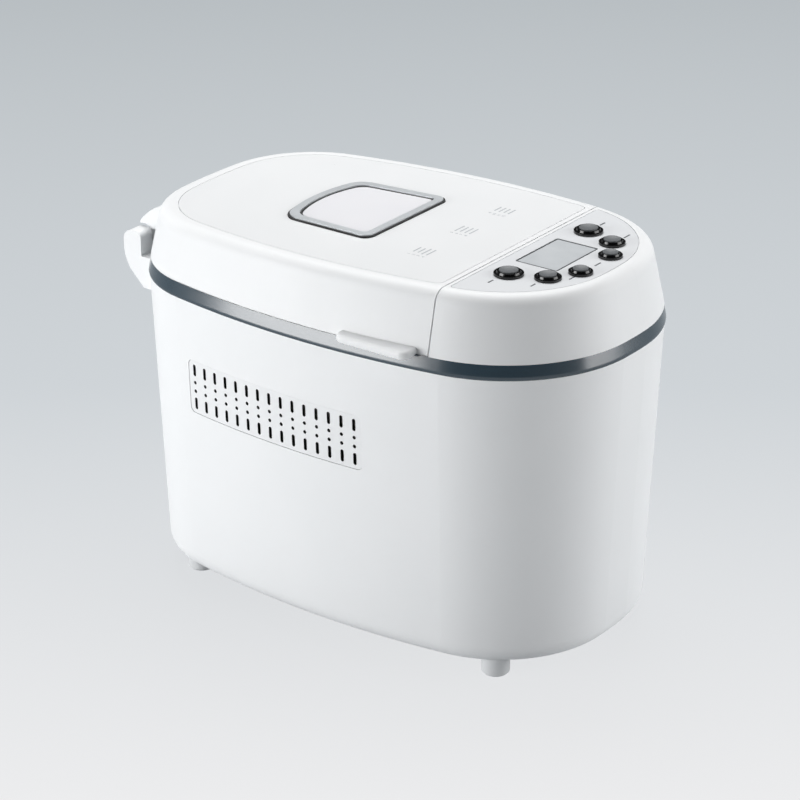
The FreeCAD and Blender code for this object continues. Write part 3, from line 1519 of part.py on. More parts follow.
def liner_dome(name, bottom, margin, height):
    body = new_body(name)
    sketch = new_sketch(body, "XY_Plane", bottom)
    half_x, half_y = chamber_half_width + margin, chamber_half_length + margin
    draw_rounded_rectangle(sketch, -half_x, half_x, d.pan_centre - half_y, d.pan_centre + half_y,
                           d.chamber_corner + margin)
    block = pad(body, sketch, height)
    block.setExpression("TaperAngle", f"-atan({d.liner_taper.text} / {d.liner_rise.text})")
    return body


def liner_window(name, level, height, margin):
    half_x, half_y = d.liner_window_width / 2 + margin, d.liner_window_length / 2 + margin
    middle = (d.window_rear - d.window_front) / 2
    return plate(name, level, height, (
        draw_rounded_rectangle, -half_x, half_x, middle - half_y, middle + half_y, d.window_front_corner))


dome_top = liner_level + d.liner_rise
flange = plate("liner_flange", liner_level, d.liner_sheet, (draw_oval, d.liner_inset))
liner_front = lid_front + d.wall + d.moving_gap
drill(flange, liner_top, d.liner_sheet, (draw_rectangle, -far, far, -far, liner_front))
dome_outer = liner_dome("dome_outer", liner_level, d.liner_margin, d.liner_rise)
dome_inner = liner_dome("dome_inner", liner_level, d.liner_margin - d.liner_sheet, d.liner_rise - d.liner_sheet)
liner_opening = liner_window("liner_opening", liner_level, d.crown_height, nothing)
finish(cut(fuse(flange, dome_outer), dome_inner, liner_opening, boss_bores), "lid_liner")
finish(liner_window("inner_glass", dome_top, d.inner_glass_thickness, d.inner_glass_lap), "inner_glass")
finish(group(*[screw(x, y, liner_level, d.screw_length - d.screw_head_height, up=True) for x, y in bosses]),
       "liner_screws")

# Hinge: a bracket with two ears behind the housing, a pin, and a wedge with a barrel on the lid

bracket_rear = half_length + d.hinge_reach
bracket_bottom = rim - d.bracket_drop
web_top = rim - d.bracket_web_drop
ear_bend = rim - d.ear_bend_drop
ear_root = rim - d.ear_root_drop
ear_top = rim + d.ear_rise
pin_hole_length = d.bracket_width - 2 * d.ear_skin
ear_front = bracket_rear - d.ear_width
ear_inside = d.bracket_width / 2 - d.ear_thickness
bracket = new_body("bracket")
bracket_sketch = new_sketch(bracket, "YZ_Plane")
draw_polygon(bracket_sketch, [
    (half_length - d.bracket_root, bracket_bottom),
    (half_length + d.bracket_shelf, bracket_bottom),
    (bracket_rear, ear_bend),
    (bracket_rear, ear_top),
    (ear_front, ear_top),
    (ear_front, ear_root),
    (half_length - d.bracket_root, ear_root),
])
pad(bracket, bracket_sketch, d.bracket_width, both=True)


def across_at(y, z):
    """Picks the edge that runs across the machine at one place."""
    return lambda bounds: (bounds.XLength > 1 and abs(bounds.YMin - y.value) < 1e-3 and bounds.YLength < 1e-3
                           and abs(bounds.ZMin - z.value) < 1e-3 and bounds.ZLength < 1e-3)


fillet(bracket, d.ear_curve, across_at(bracket_rear, ear_bend))
fillet(bracket, d.ear_width / 2 - d.wedge_gap, across_at(bracket_rear, ear_top))
fillet(bracket, d.ear_width / 4, across_at(ear_front, ear_top))
between_ears = box(-ear_inside, ear_inside, nothing, far, web_top, far)
pin_hole = along_x("pin_hole", hinge_y, hinge_level, d.pin_radius + d.running_gap, pin_hole_length)
finish(cut(bracket, between_ears, pin_hole, lower_outer), "hinge_bracket")
pin_length = pin_hole_length - 2 * d.running_gap
finish(along_x("hinge_pin", hinge_y, hinge_level, d.pin_radius, pin_length), "hinge_pin")


wedge_tip = rim + d.wedge_tip_rise


def draw_wedge(sketch):
    """The side of the lid wedge: flat below and in front, with one arc from its top to its tip."""
    wedge_bottom, wedge_top = rim + d.wedge_lift, rim + d.wedge_rise
    start = (half_length - d.bracket_root - d.bracket_shelf, wedge_bottom)
    crest = (half_length - d.bracket_shelf, wedge_top)
    tip = (hinge_y + d.wedge_tip_reach, wedge_tip)
    heel = (tip[0], wedge_bottom)
    span_y, span_z = (tip[0] - crest[0]).value, (tip[1] - crest[1]).value
    span = math.hypot(span_y, span_z)
    drop = math.sqrt(d.wedge_bulge.value ** 2 - span ** 2 / 4)
    centre_y = (crest[0] + tip[0]).value / 2 + drop * span_z / span
    centre_z = (crest[1] + tip[1]).value / 2 - drop * span_y / span
    from_tip = math.atan2(tip[1].value - centre_z, tip[0].value - centre_y)
    to_crest = math.atan2(crest[1].value - centre_z, crest[0].value - centre_y)
    spots = [(y.value, z.value) for y, z in (crest, (start[0], wedge_top), start, heel, tip)]
    lines = [add_line(sketch, *begin, *end) for begin, end in zip(spots, spots[1:])]
    bulge = add_arc(sketch, centre_y, centre_z, d.wedge_bulge.value, from_tip, to_crest)
    for first, second in zip(lines + [bulge], lines[1:] + [bulge] + lines[:1]):
        sketch.addConstraint(Sketcher.Constraint("Coincident", first, 2, second, 1))
    for line, (y, z) in zip(lines, (crest, (start[0], wedge_top), start, heel)):
        pin_down(sketch, line, 1, y, z)
    pin_down(sketch, bulge, 1, *tip)
    bind(sketch, d.wedge_bulge, "Radius", bulge)


wedge = new_body("wedge")
wedge_sketch = new_sketch(wedge, "YZ_Plane")
draw_wedge(wedge_sketch)
pad(wedge, wedge_sketch, 2 * (ear_inside - d.wedge_gap), both=True)
relief = along_x("hinge_relief", hinge_y, hinge_level, d.knuckle_relief, far)
barrel = along_x("hinge_barrel", hinge_y, hinge_level, d.knuckle_radius, d.knuckle_width)
web_front = hinge_y - d.knuckle_radius
web = box(-d.knuckle_width / 2, d.knuckle_width / 2, web_front, web_front + d.knuckle_web,
          hinge_level, wedge_tip)
knuckle = cut(fuse(cut(wedge, lid_outer, relief), barrel, web), pin_hole)
finish(knuckle, "lid_hinge_knuckle")

# Every object must be sound before any file is written

doc.recompute()
for thing in doc.Objects:
    if "Invalid" in thing.State or "Error" in thing.State:
        raise RuntimeError(f"{thing.Label} does not build: {thing.State}")
for node in nodes:
    if node.Shape.isNull() or not node.Shape.isValid():
        raise RuntimeError(f"{node.Label} is not a valid solid")

os.makedirs("parts", exist_ok=True)
for node in nodes:
    node.Shape.exportStep(f"parts/{node.Label}.step")
print(f"{len(nodes)} sub-parts written")
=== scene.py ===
import math

import bmesh
import bpy
from mathutils import Matrix, Vector
from mathutils.geometry import convex_hull_2d


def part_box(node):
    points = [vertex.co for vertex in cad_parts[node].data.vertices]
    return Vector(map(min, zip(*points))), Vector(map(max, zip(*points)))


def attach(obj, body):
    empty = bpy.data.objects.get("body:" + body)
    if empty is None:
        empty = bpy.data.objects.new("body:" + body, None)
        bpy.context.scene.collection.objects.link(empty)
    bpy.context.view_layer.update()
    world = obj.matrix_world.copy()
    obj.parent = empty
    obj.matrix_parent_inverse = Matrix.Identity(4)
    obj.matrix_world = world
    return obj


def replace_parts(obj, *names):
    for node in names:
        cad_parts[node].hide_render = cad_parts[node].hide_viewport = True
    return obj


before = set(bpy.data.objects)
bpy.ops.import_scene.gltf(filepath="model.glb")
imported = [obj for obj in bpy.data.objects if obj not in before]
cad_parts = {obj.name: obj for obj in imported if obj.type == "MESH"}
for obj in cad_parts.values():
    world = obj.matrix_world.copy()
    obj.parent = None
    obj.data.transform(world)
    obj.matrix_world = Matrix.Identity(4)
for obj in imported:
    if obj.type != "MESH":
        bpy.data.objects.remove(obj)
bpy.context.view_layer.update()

# A white bread machine on a pale studio floor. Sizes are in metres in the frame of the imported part:
# +Z up, control head towards -Y, hinge towards +Y.

MM = 0.001


# Colours and nodes

def colour(hex_code):
    """A written sRGB hex colour as linear red, green, blue and alpha."""
    channels = [int(hex_code[i:i + 2], 16) / 255 for i in (0, 2, 4)]
    return tuple(c / 12.92 if c <= 0.04045 else ((c + 0.055) / 1.055) ** 2.4 for c in channels) + (1.0,)


def add(tree, kind, settings=None, inputs=None):
    """Add a node, set its properties, and set or link its inputs. A socket as a value is linked."""
    node = tree.nodes.new(kind)
    for key, value in (settings or {}).items():
        setattr(node, key, value)
    for key, value in (inputs or {}).items():
        if isinstance(value, bpy.types.NodeSocket):
            tree.links.new(value, node.inputs[key])
        else:
            node.inputs[key].default_value = value
    return node


def per_metre(size_mm):
    """Texture scale for a pattern of that real size."""
    return 1 / (size_mm * MM)


def new_material(name):
    """A material with one plain shader, its node tree, and the coordinates that its patterns follow."""
    material = bpy.data.materials.new(name)
    material.use_nodes = True
    tree = material.node_tree
    tree.nodes.clear()
    shader = add(tree, "ShaderNodeBsdfPrincipled", {"name": "Shader"})
    add(tree, "ShaderNodeOutputMaterial", {"name": "Output"}, {"Surface": shader.outputs["BSDF"]})
    where = add(tree, "ShaderNodeTexCoord").outputs["Object"]
    return material, tree, shader, where


def set_shader(shader, **values):
    """Set what is the same all over the surface, on the shader's own sockets."""
    for key, value in values.items():
        shader.inputs[key.replace("_", " ")].default_value = value


def mottled(tree, shader, where, light, dark, size_mm):
    """Colour that drifts softly between two written shades."""
    drift = add(tree, "ShaderNodeTexNoise", inputs={
        "Vector": where, "Scale": per_metre(size_mm), "Detail": 3.0})
    mix = add(tree, "ShaderNodeMix", {"data_type": "RGBA"}, {
        "Factor": drift.outputs["Fac"], "A": colour(light), "B": colour(dark)})
    tree.links.new(mix.outputs["Result"], shader.inputs["Base Color"])


def uneven_roughness(tree, shader, where, low, high, size_mm):
    """Gloss that differs a little from patch to patch."""
    patch = add(tree, "ShaderNodeTexNoise", inputs={
        "Vector": where, "Scale": per_metre(size_mm), "Detail": 4.0})
    span = add(tree, "ShaderNodeMapRange", inputs={
        "Value": patch.outputs["Fac"], "To Min": low, "To Max": high})
    tree.links.new(span.outputs["Result"], shader.inputs["Roughness"])


def grained(tree, shader, where, size_mm, depth_mm, strength, stretch=(1, 1, 1)):
    """Relief of a moulded, drawn or brushed skin."""
    turned = add(tree, "ShaderNodeMapping", inputs={"Vector": where, "Scale": stretch})
    grain = add(tree, "ShaderNodeTexNoise", inputs={
        "Vector": turned.outputs["Vector"], "Scale": per_metre(size_mm), "Detail": 2.0})
    bump = add(tree, "ShaderNodeBump", inputs={
        "Height": grain.outputs["Fac"], "Distance": depth_mm * MM, "Strength": strength})
    tree.links.new(bump.outputs["Normal"], shader.inputs["Normal"])


# Finishes

SLOT_WALL_FACING = 0.7
GRILLE_RIM = 1.0 * MM


def moulded_abs(name, light, dark, roughness):
    """Injection-moulded ABS: an even tone, a soft sheen, and a fine spark-eroded skin."""
    material, tree, shader, where = new_material(name)
    mottled(tree, shader, where, light, dark, size_mm=90)
    uneven_roughness(tree, shader, where, roughness - 0.05, roughness + 0.05, size_mm=25)
    # The real grain is about 0.1 mm; it is drawn coarser so that it shows.
    grained(tree, shader, where, size_mm=0.6, depth_mm=0.02, strength=0.25)
    set_shader(shader, IOR=1.53)
    return material


def slotted_abs(name, light, dark, painted_slot_shade):
    """Slotted moulded ABS: the face is white, and the walls of the slots are painted dark as shade."""
    material = moulded_abs(name, light, dark, roughness=0.40)
    tree = material.node_tree
    shader = tree.nodes["Shader"]
    face = shader.inputs["Base Color"].links[0].from_socket
    # The panel faces along X, and the walls of its slots don't.
    normal = add(tree, "ShaderNodeNewGeometry").outputs["Normal"]
    facing = add(tree, "ShaderNodeSeparateXYZ", inputs={"Vector": normal})
    level = add(tree, "ShaderNodeMath", {"operation": "ABSOLUTE"}, {0: facing.outputs["X"]})
    wall = add(tree, "ShaderNodeMath", {"operation": "LESS_THAN"}, {
        0: level.outputs["Value"], 1: SLOT_WALL_FACING})
    # The edge of the panel keeps the colour of its face.
    low, high = (Vector(corner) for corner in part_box("vent_grille_left"))
    reach = (high - low) / 2 - Vector((0, GRILLE_RIM, GRILLE_RIM))
    where = add(tree, "ShaderNodeTexCoord").outputs["Object"]
    away = add(tree, "ShaderNodeVectorMath", {"operation": "SUBTRACT"}, {0: where, 1: (low + high) / 2})
    away = add(tree, "ShaderNodeVectorMath", {"operation": "ABSOLUTE"}, {0: away.outputs["Vector"]})
    away = add(tree, "ShaderNodeSeparateXYZ", inputs={"Vector": away.outputs["Vector"]})
    for axis, limit in (("Y", reach.y), ("Z", reach.z)):
        inside = add(tree, "ShaderNodeMath", {"operation": "LESS_THAN"}, {0: away.outputs[axis], 1: limit})
        wall = add(tree, "ShaderNodeMath", {"operation": "MULTIPLY"}, {
            0: wall.outputs["Value"], 1: inside.outputs["Value"]})
    # Painted shade: the walls of the slots get a dark colour that stands in for the shade in them.
    mix = add(tree, "ShaderNodeMix", {"data_type": "RGBA"}, {
        "Factor": wall.outputs["Value"], "A": face, "B": colour(painted_slot_shade)})
    tree.links.new(mix.outputs["Result"], shader.inputs["Base Color"])
    return material


def lacquered_band(name):
    """Flake lacquer under a hard clear coat: dark blue-grey, with a neutral gloss where it meets a lamp."""
    material, tree, shader, where = new_material(name)
    # Real flakes are near 0.05 mm; they are drawn coarser so that they show.
    flakes = add(tree, "ShaderNodeTexVoronoi", inputs={"Vector": where, "Scale": per_metre(size_mm=0.4)})
    blend = add(tree, "ShaderNodeMix", {"data_type": "RGBA"}, {
        "Factor": flakes.outputs["Distance"], "A": colour("223A48"), "B": colour("1A303C")})
    tree.links.new(blend.outputs["Result"], shader.inputs["Base Color"])
    uneven_roughness(tree, shader, where, low=0.17, high=0.22, size_mm=12)
    set_shader(shader, IOR=1.68)
    return material


def satin_lacquer(name, light, dark):
    """Grey satin lacquer on a pressed frame: soft metallic glow, faint brushing."""
    material, tree, shader, where = new_material(name)
    mottled(tree, shader, where, light, dark, size_mm=8)
    uneven_roughness(tree, shader, where, low=0.34, high=0.44, size_mm=6)
    grained(tree, shader, where, size_mm=0.5, depth_mm=0.02, strength=0.2, stretch=(1, 6, 1))
    set_shader(shader, Metallic=0.55)
    return material


def brushed_metal(name, light, dark, roughness, stretch, metallic=1.0):
    """Rolled or drawn metal: streaks along the draw, a broad highlight."""
    material, tree, shader, where = new_material(name)
    mottled(tree, shader, where, light, dark, size_mm=14)
    uneven_roughness(tree, shader, where, roughness - 0.06, roughness + 0.08, size_mm=9)
    grained(tree, shader, where, size_mm=0.8, depth_mm=0.03, strength=0.3, stretch=stretch)
    set_shader(shader, Metallic=metallic)
    return material


def rubber(name, light, dark):
    """Moulded elastomer: dull, slightly dusty, fine pitted skin."""
    material, tree, shader, where = new_material(name)
    mottled(tree, shader, where, light, dark, size_mm=5)
    uneven_roughness(tree, shader, where, low=0.55, high=0.72, size_mm=4)
    grained(tree, shader, where, size_mm=0.5, depth_mm=0.03, strength=0.35)
    return material


def gloss_moulding(name, light, dark, roughness):
    """Polished or satin plastic: deep colour, clear highlight, faint ripple from the tool."""
    material, tree, shader, where = new_material(name)
    mottled(tree, shader, where, light, dark, size_mm=6)
    uneven_roughness(tree, shader, where, roughness, roughness + 0.06, size_mm=4)
    grained(tree, shader, where, size_mm=1.2, depth_mm=0.01, strength=0.12)
    set_shader(shader, IOR=1.5)
    return material


def pale_pane(name):
    """Heat-proof pane with a milky back: pale, smooth, only hinting at the oven below."""
    material, tree, shader, where = new_material(name)
    mottled(tree, shader, where, "FAFAFC", "F2F2F7", size_mm=60)
    uneven_roughness(tree, shader, where, low=0.10, high=0.16, size_mm=40)
    set_shader(shader, IOR=1.5, Transmission_Weight=0.04)
    return material


def display_cell(name, roughness):
    """Reflective liquid crystal cell behind acrylic: flat silver grey, smooth and faintly uneven."""
    material, tree, shader, where = new_material(name)
    mottled(tree, shader, where, "DADDE0", "BFC4C7", size_mm=22)
    uneven_roughness(tree, shader, where, roughness, roughness + 0.05, size_mm=20)
    set_shader(shader, IOR=1.49)
    return material


def printed_ink(name, light, dark):
    """Pad-printed ink: a thin flat film, duller than the plastic around it, slightly patchy."""
    material, tree, shader, where = new_material(name)
    mottled(tree, shader, where, light, dark, size_mm=3)
    uneven_roughness(tree, shader, where, low=0.5, high=0.6, size_mm=2)
    return material


def nonstick(name):
    """Fluoropolymer coating on drawn aluminium: near black with pale specks."""
    material, tree, shader, where = new_material(name)
    specks = add(tree, "ShaderNodeTexVoronoi", inputs={"Vector": where, "Scale": per_metre(size_mm=2.5)})
    edge = add(tree, "ShaderNodeMapRange", inputs={
        "Value": specks.outputs["Distance"], "From Min": 0.08, "From Max": 0.16})
    mix = add(tree, "ShaderNodeMix", {"data_type": "RGBA"}, {
        "Factor": edge.outputs["Result"], "A": colour("8A8A88"), "B": colour("2B2B2D")})
    tree.links.new(mix.outputs["Result"], shader.inputs["Base Color"])
    uneven_roughness(tree, shader, where, low=0.32, high=0.42, size_mm=6)
    grained(tree, shader, where, size_mm=0.7, depth_mm=0.02, strength=0.3)
    return material


def laminate(name):
    """Glass-fibre circuit board: green resist with a woven undertone."""
    material, tree, shader, where = new_material(name)
    weave = add(tree, "ShaderNodeTexChecker", inputs={
        "Vector": where, "Scale": per_metre(size_mm=1.5),
        "Color1": colour("2F6B45"), "Color2": colour("2A6140")})
    tree.links.new(weave.outputs["Color"], shader.inputs["Base Color"])
    uneven_roughness(tree, shader, where, low=0.3, high=0.4, size_mm=5)
    return material


WHITE = moulded_abs("white_moulded_abs", "EDEEEF", "E7E9EA", roughness=0.52)
PANEL = moulded_abs("white_panel_abs", "F3F4F5", "EEF0F1", roughness=0.30)
FASCIA = moulded_abs("fascia_satin_abs", "E6E8EA", "E0E2E5", roughness=0.34)
BAND = lacquered_band("blue_metallic_lacquer")
GRILLE = slotted_abs("grille_moulded_abs", "EAEBEC", "E4E6E7", painted_slot_shade="2A2B2C")
FRAME_GREY = satin_lacquer("grey_satin_lacquer", "D4D8DB", "C8CCCF")
GASKET = rubber("black_gasket_rubber", "161617", "0E0E0F")
MILKY = pale_pane("milky_oven_pane")
LENS = display_cell("acrylic_display_lens", roughness=0.12)
DISPLAY = display_cell("display_glass_cell", roughness=0.4)
FAINT_INK = printed_ink("faint_grey_ink", "BFC2C6", "B2B6BA")
DARK_INK = printed_ink("dark_grey_ink", "5B5F63", "4C5054")
KEY_BLACK = gloss_moulding("black_gloss_bezel", "0A0A0B", "060607", roughness=0.15)
KEY_CAP = gloss_moulding("grey_satin_cap", "66696C", "585B5E", roughness=0.44)
BORDER = gloss_moulding("dark_display_border", "3C3F42", "323538", roughness=0.30)
FOOT = moulded_abs("pale_foot_abs", "DADCDD", "D2D4D6", roughness=0.5)
GLAND = rubber("grey_gland_rubber", "8E9092", "838587")
BASE = moulded_abs("grey_base_abs", "A9ABAD", "A0A2A4", roughness=0.5)
DECK = moulded_abs("deck_moulded_abs", "D6D8DA", "CED0D2", roughness=0.42)
OVEN = brushed_metal("drawn_oven_steel", "C9C7C2", "B5B2AC", roughness=0.32, stretch=(1, 1, 12))
LINER = brushed_metal("pressed_liner_aluminium", "D2D3D2", "C2C3C3", roughness=0.30, stretch=(8, 1, 1))
HEATER = brushed_metal("heat_tinted_sheath", "5E5852", "4A4541", roughness=0.42, stretch=(1, 6, 1))
BRIGHT = brushed_metal("bright_drawn_wire", "DADAD8", "C8C8C6", roughness=0.16, stretch=(1, 8, 1))
CAST = brushed_metal("cast_aluminium", "C4C5C6", "B2B3B4", roughness=0.42, stretch=(1, 1, 1))
BRASS = brushed_metal("turned_brass", "C9A45A", "B38E49", roughness=0.26, stretch=(1, 1, 10))
COATING = nonstick("speckled_nonstick")
PULLEY = gloss_moulding("black_pulley_moulding", "1E1E20", "161617", roughness=0.4)
BELT = rubber("drive_belt_rubber", "1B1B1B", "131313")
MOTOR = brushed_metal("lacquered_motor_steel", "6C6F72", "5C5F62", roughness=0.4, stretch=(1, 1, 20),
                      metallic=0.7)
BOARD = laminate("green_board_laminate")

FINISHES = {
    WHITE: ["body_shell", "lid_shell", "control_head", "hinge_bracket", "lid_hinge_knuckle"],
    PANEL: ["lid_panel"],
    FASCIA: ["control_fascia"],
    BAND: ["trim_band"],
    GRILLE: ["vent_grille_left", "vent_grille_right"],
    FRAME_GREY: ["window_frame"],
    GASKET: ["window_gasket"],
    MILKY: ["window_glass", "inner_glass"],
    LENS: ["display_lens"],
    DISPLAY: ["display_module"],
    KEY_BLACK: ["button_bezels"],
    KEY_CAP: [f"button_{row}_{side}" for row in ("outer", "middle", "inner") for side in ("left", "right")],
    FOOT: [f"foot_{end}_{side}" for end in ("front", "rear") for side in ("left", "right")],
    GLAND: ["cord_gland"],
    BASE: ["base_plate"],
    DECK: ["top_deck"],
    OVEN: ["oven_chamber", "chassis_plate", "pan_seat", "temperature_sensor", "bearing_housing"],
    LINER: ["lid_liner"],
    HEATER: ["heater_element"],
    BRIGHT: ["pan_handle", "hinge_pin", "pan_shaft", "drive_shaft", "motor_shaft", "chassis_screws",
             "motor_screws", "liner_screws"],
    CAST: ["pan_base_ring", "drive_coupling", "motor_capacitor"],
    BRASS: ["pan_bearing"],
    COATING: ["bread_pan", "kneading_paddle"],
    PULLEY: ["large_pulley", "motor_pulley", "tact_switches"],
    BELT: ["drive_belt"],
    MOTOR: ["drive_motor"],
    BOARD: ["power_board", "control_board"],
}
for finish, names in FINISHES.items():
    for name in names:
        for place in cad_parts[name].material_slots:
            place.material = finish


# Making pieces

def mesh_of(name, points, faces):
    """A new mesh from points and faces."""
    mesh = bpy.data.meshes.new(name)
    mesh.from_pydata(points, [], faces)
    return mesh


def linked(name, data):
    """A new object with that data, linked to the scene."""
    thing = bpy.data.objects.new(name, data)
    bpy.context.scene.collection.objects.link(thing)
    return thing


def wrapped_faces(sections, count):
    """Faces of a closed ring: sections of so many points each, the last section joined to the first."""
    faces = []
    for section in range(sections):
        here, there = section * count, (section + 1) % sections * count
        for step in range(count):
            following = (step + 1) % count
            faces.append((here + step, there + step, there + following, here + following))
    return faces


def new_piece(name, mesh, material, body):
    """Link a finished mesh as a piece that rides on a body."""
    mesh.materials.clear()
    mesh.materials.append(material)
    piece = linked(name, mesh)
    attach(piece, body)
    return piece


# Trim band: a strip that leans back over a rounded foot, in place of the flat band of the frame

BAND_FOOT_REACH = -0.7 * MM
BAND_FOOT_RISE = 1.4 * MM
BAND_HEAD_REACH = -1.95 * MM
BAND_BACK_REACH = -2.0 * MM
BAND_STEPS = 6
BAND_SHARP_ANGLE = math.radians(35)
UPPER_EDGE = 1.0 * MM
OUTLINE_DIGITS = 6


def outline_of(node):
    """The convex plan of a node, read from the upper edge of its mesh, in order round it."""
    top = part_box(node)[1][2]
    edge = [vertex.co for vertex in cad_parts[node].data.vertices if vertex.co.z > top - UPPER_EDGE]
    spots = {(round(place.x, OUTLINE_DIGITS), round(place.y, OUTLINE_DIGITS)) for place in edge}
    spots = [Vector(spot) for spot in sorted(spots)]
    return [spots[index] for index in convex_hull_2d(spots)]


def outward_at(ring, index):
    """The outward direction at one point of a closed outline that runs anticlockwise."""
    along = (ring[(index + 1) % len(ring)] - ring[index - 1]).normalized()
    return Vector((along.y, -along.x))


def band_profile(height):
    """Reach and level of each point of the strip's section: rounded foot, leaning face, straight back."""
    profile = []
    for step in range(BAND_STEPS):
        turn = math.pi / 2 * step / BAND_STEPS
        profile.append((BAND_FOOT_REACH * (1 - math.sin(turn)), BAND_FOOT_RISE * (1 - math.cos(turn))))
    for step in range(BAND_STEPS + 1):
        share = step / BAND_STEPS
        profile.append((BAND_HEAD_REACH * share, BAND_FOOT_RISE + (height - BAND_FOOT_RISE) * share))
    return profile + [(BAND_BACK_REACH, height), (BAND_BACK_REACH, 0)]


def trim_band():
    low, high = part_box("trim_band")
    ring = outline_of("trim_band")
    profile = band_profile(high[2] - low[2])
    points = []
    for index, spot in enumerate(ring):
        out = outward_at(ring, index)
        points += [(*(spot + out * reach), low[2] + level) for reach, level in profile]
    mesh = mesh_of("trim_band_strip", points, wrapped_faces(len(ring), len(profile)))
    mesh.shade_smooth()
    mesh.set_sharp_from_angle(angle=BAND_SHARP_ANGLE)
    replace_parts(new_piece("trim_band_strip", mesh, BAND, "housing"), "trim_band")


trim_band()


# Oven window: the pane stands higher in its gasket than the flat pane of the frame

PANE_LIFT = 1.2 * MM
PANE_BEVEL = 0.4 * MM
PANE_BEVEL_STEPS = 2
ROUND_BEVEL = 0.5
UPWARD = 0.9
MERGE_DISTANCE = 0.001 * MM
FLAT_ANGLE = math.radians(1)


def oven_pane():
    shape = bmesh.new()
    shape.from_mesh(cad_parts["window_glass"].data)
    bmesh.ops.remove_doubles(shape, verts=shape.verts, dist=MERGE_DISTANCE)
    upper = [face for face in shape.faces if face.normal.z > UPWARD]
    for vertex in {vertex for face in upper for vertex in face.verts}:
        vertex.co.z += PANE_LIFT
    shape.normal_update()
    bmesh.ops.dissolve_limit(shape, angle_limit=FLAT_ANGLE, verts=shape.verts, edges=shape.edges)
    rim = [edge for edge in shape.edges if any(face.normal.z > UPWARD for face in edge.link_faces)]
    bmesh.ops.bevel(shape, geom=rim, offset=PANE_BEVEL, segments=PANE_BEVEL_STEPS, affect="EDGES",
                    profile=ROUND_BEVEL)
    mesh = bpy.data.meshes.new("oven_pane")
    shape.to_mesh(mesh)
    shape.free()
    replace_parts(new_piece("oven_pane", mesh, MILKY, "lid"), "window_glass")


oven_pane()


# Display: a dark printed border on the lens

BORDER_WIDTH = 0.9 * MM
BORDER_CORNER = 1.5 * MM
BORDER_THICKNESS = 0.12 * MM
CORNER_STEPS = 5


def rounded_outline(low, high, inset, corner):
    """A rectangle with round corners, anticlockwise."""
    corners = ((high[0], high[1]), (low[0], high[1]), (low[0], low[1]), (high[0], low[1]))
    points = []
    for turn, (x, y) in enumerate(corners):
        middle_x = x - math.copysign(inset + corner, x - (low[0] + high[0]) / 2)
        middle_y = y - math.copysign(inset + corner, y - (low[1] + high[1]) / 2)
        for step in range(CORNER_STEPS + 1):
            angle = math.pi / 2 * (turn + step / CORNER_STEPS)
            points.append((middle_x + corner * math.cos(angle), middle_y + corner * math.sin(angle)))
    return points


def display_border():
    low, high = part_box("display_lens")
    outer = rounded_outline(low, high, 0, BORDER_CORNER)
    inner = rounded_outline(low, high, BORDER_WIDTH, BORDER_CORNER - BORDER_WIDTH)
    foot = high[2]
    top = foot + BORDER_THICKNESS
    sections = ((inner, foot), (inner, top), (outer, top), (outer, foot))
    points = [(*spot, level) for outline, level in sections for spot in outline]
    mesh = mesh_of("display_border", points, wrapped_faces(len(sections), len(outer)))
    new_piece("display_border", mesh, BORDER, "housing")


display_border()


# Print: programme numbers with a bar each on the lid, and one bar beside each key

LID_SLOPE = math.radians(1.2)
INK_THICKNESS = 0.06 * MM
INK_LIFT = 0.02 * MM
PROGRAMME_BLOCKS = ((-41.6 * MM, -56.0 * MM), (4.3 * MM, -56.4 * MM), (48.0 * MM, -56.0 * MM))
PROGRAMME_ROWS = 4
ROW_PITCH = 3.6 * MM
NUMBER_SHIFT = 8.0 * MM
NUMBER_SIZE = 3.0 * MM
NUMBER_CURVE_STEPS = 3
PROGRAMME_BAR = (11.0 * MM, 1.0 * MM)
KEY_BAR = (7.0 * MM, 1.1 * MM)
SHORTEST_BAR = 0.6
BAR_SEED = 7
# From the middle of each key to the middle of its bar
KEY_BAR_OFFSETS = {
    "button_outer_left": (-16.0 * MM, 2.45 * MM),
    "button_middle_left": (-14.5 * MM, 1.25 * MM),
    "button_inner_left": (-10.0 * MM, -0.55 * MM),
    "button_inner_right": (-16.0 * MM, -0.95 * MM),
    "button_middle_right": (16.0 * MM, -0.95 * MM),
    "button_outer_right": (17.0 * MM, 0.25 * MM),
}


def lid_height(y):
    """Height of the lid panel at a place along the machine."""
    low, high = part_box("lid_panel")
    return high[2] - math.tan(LID_SLOPE) * (y - low[1])


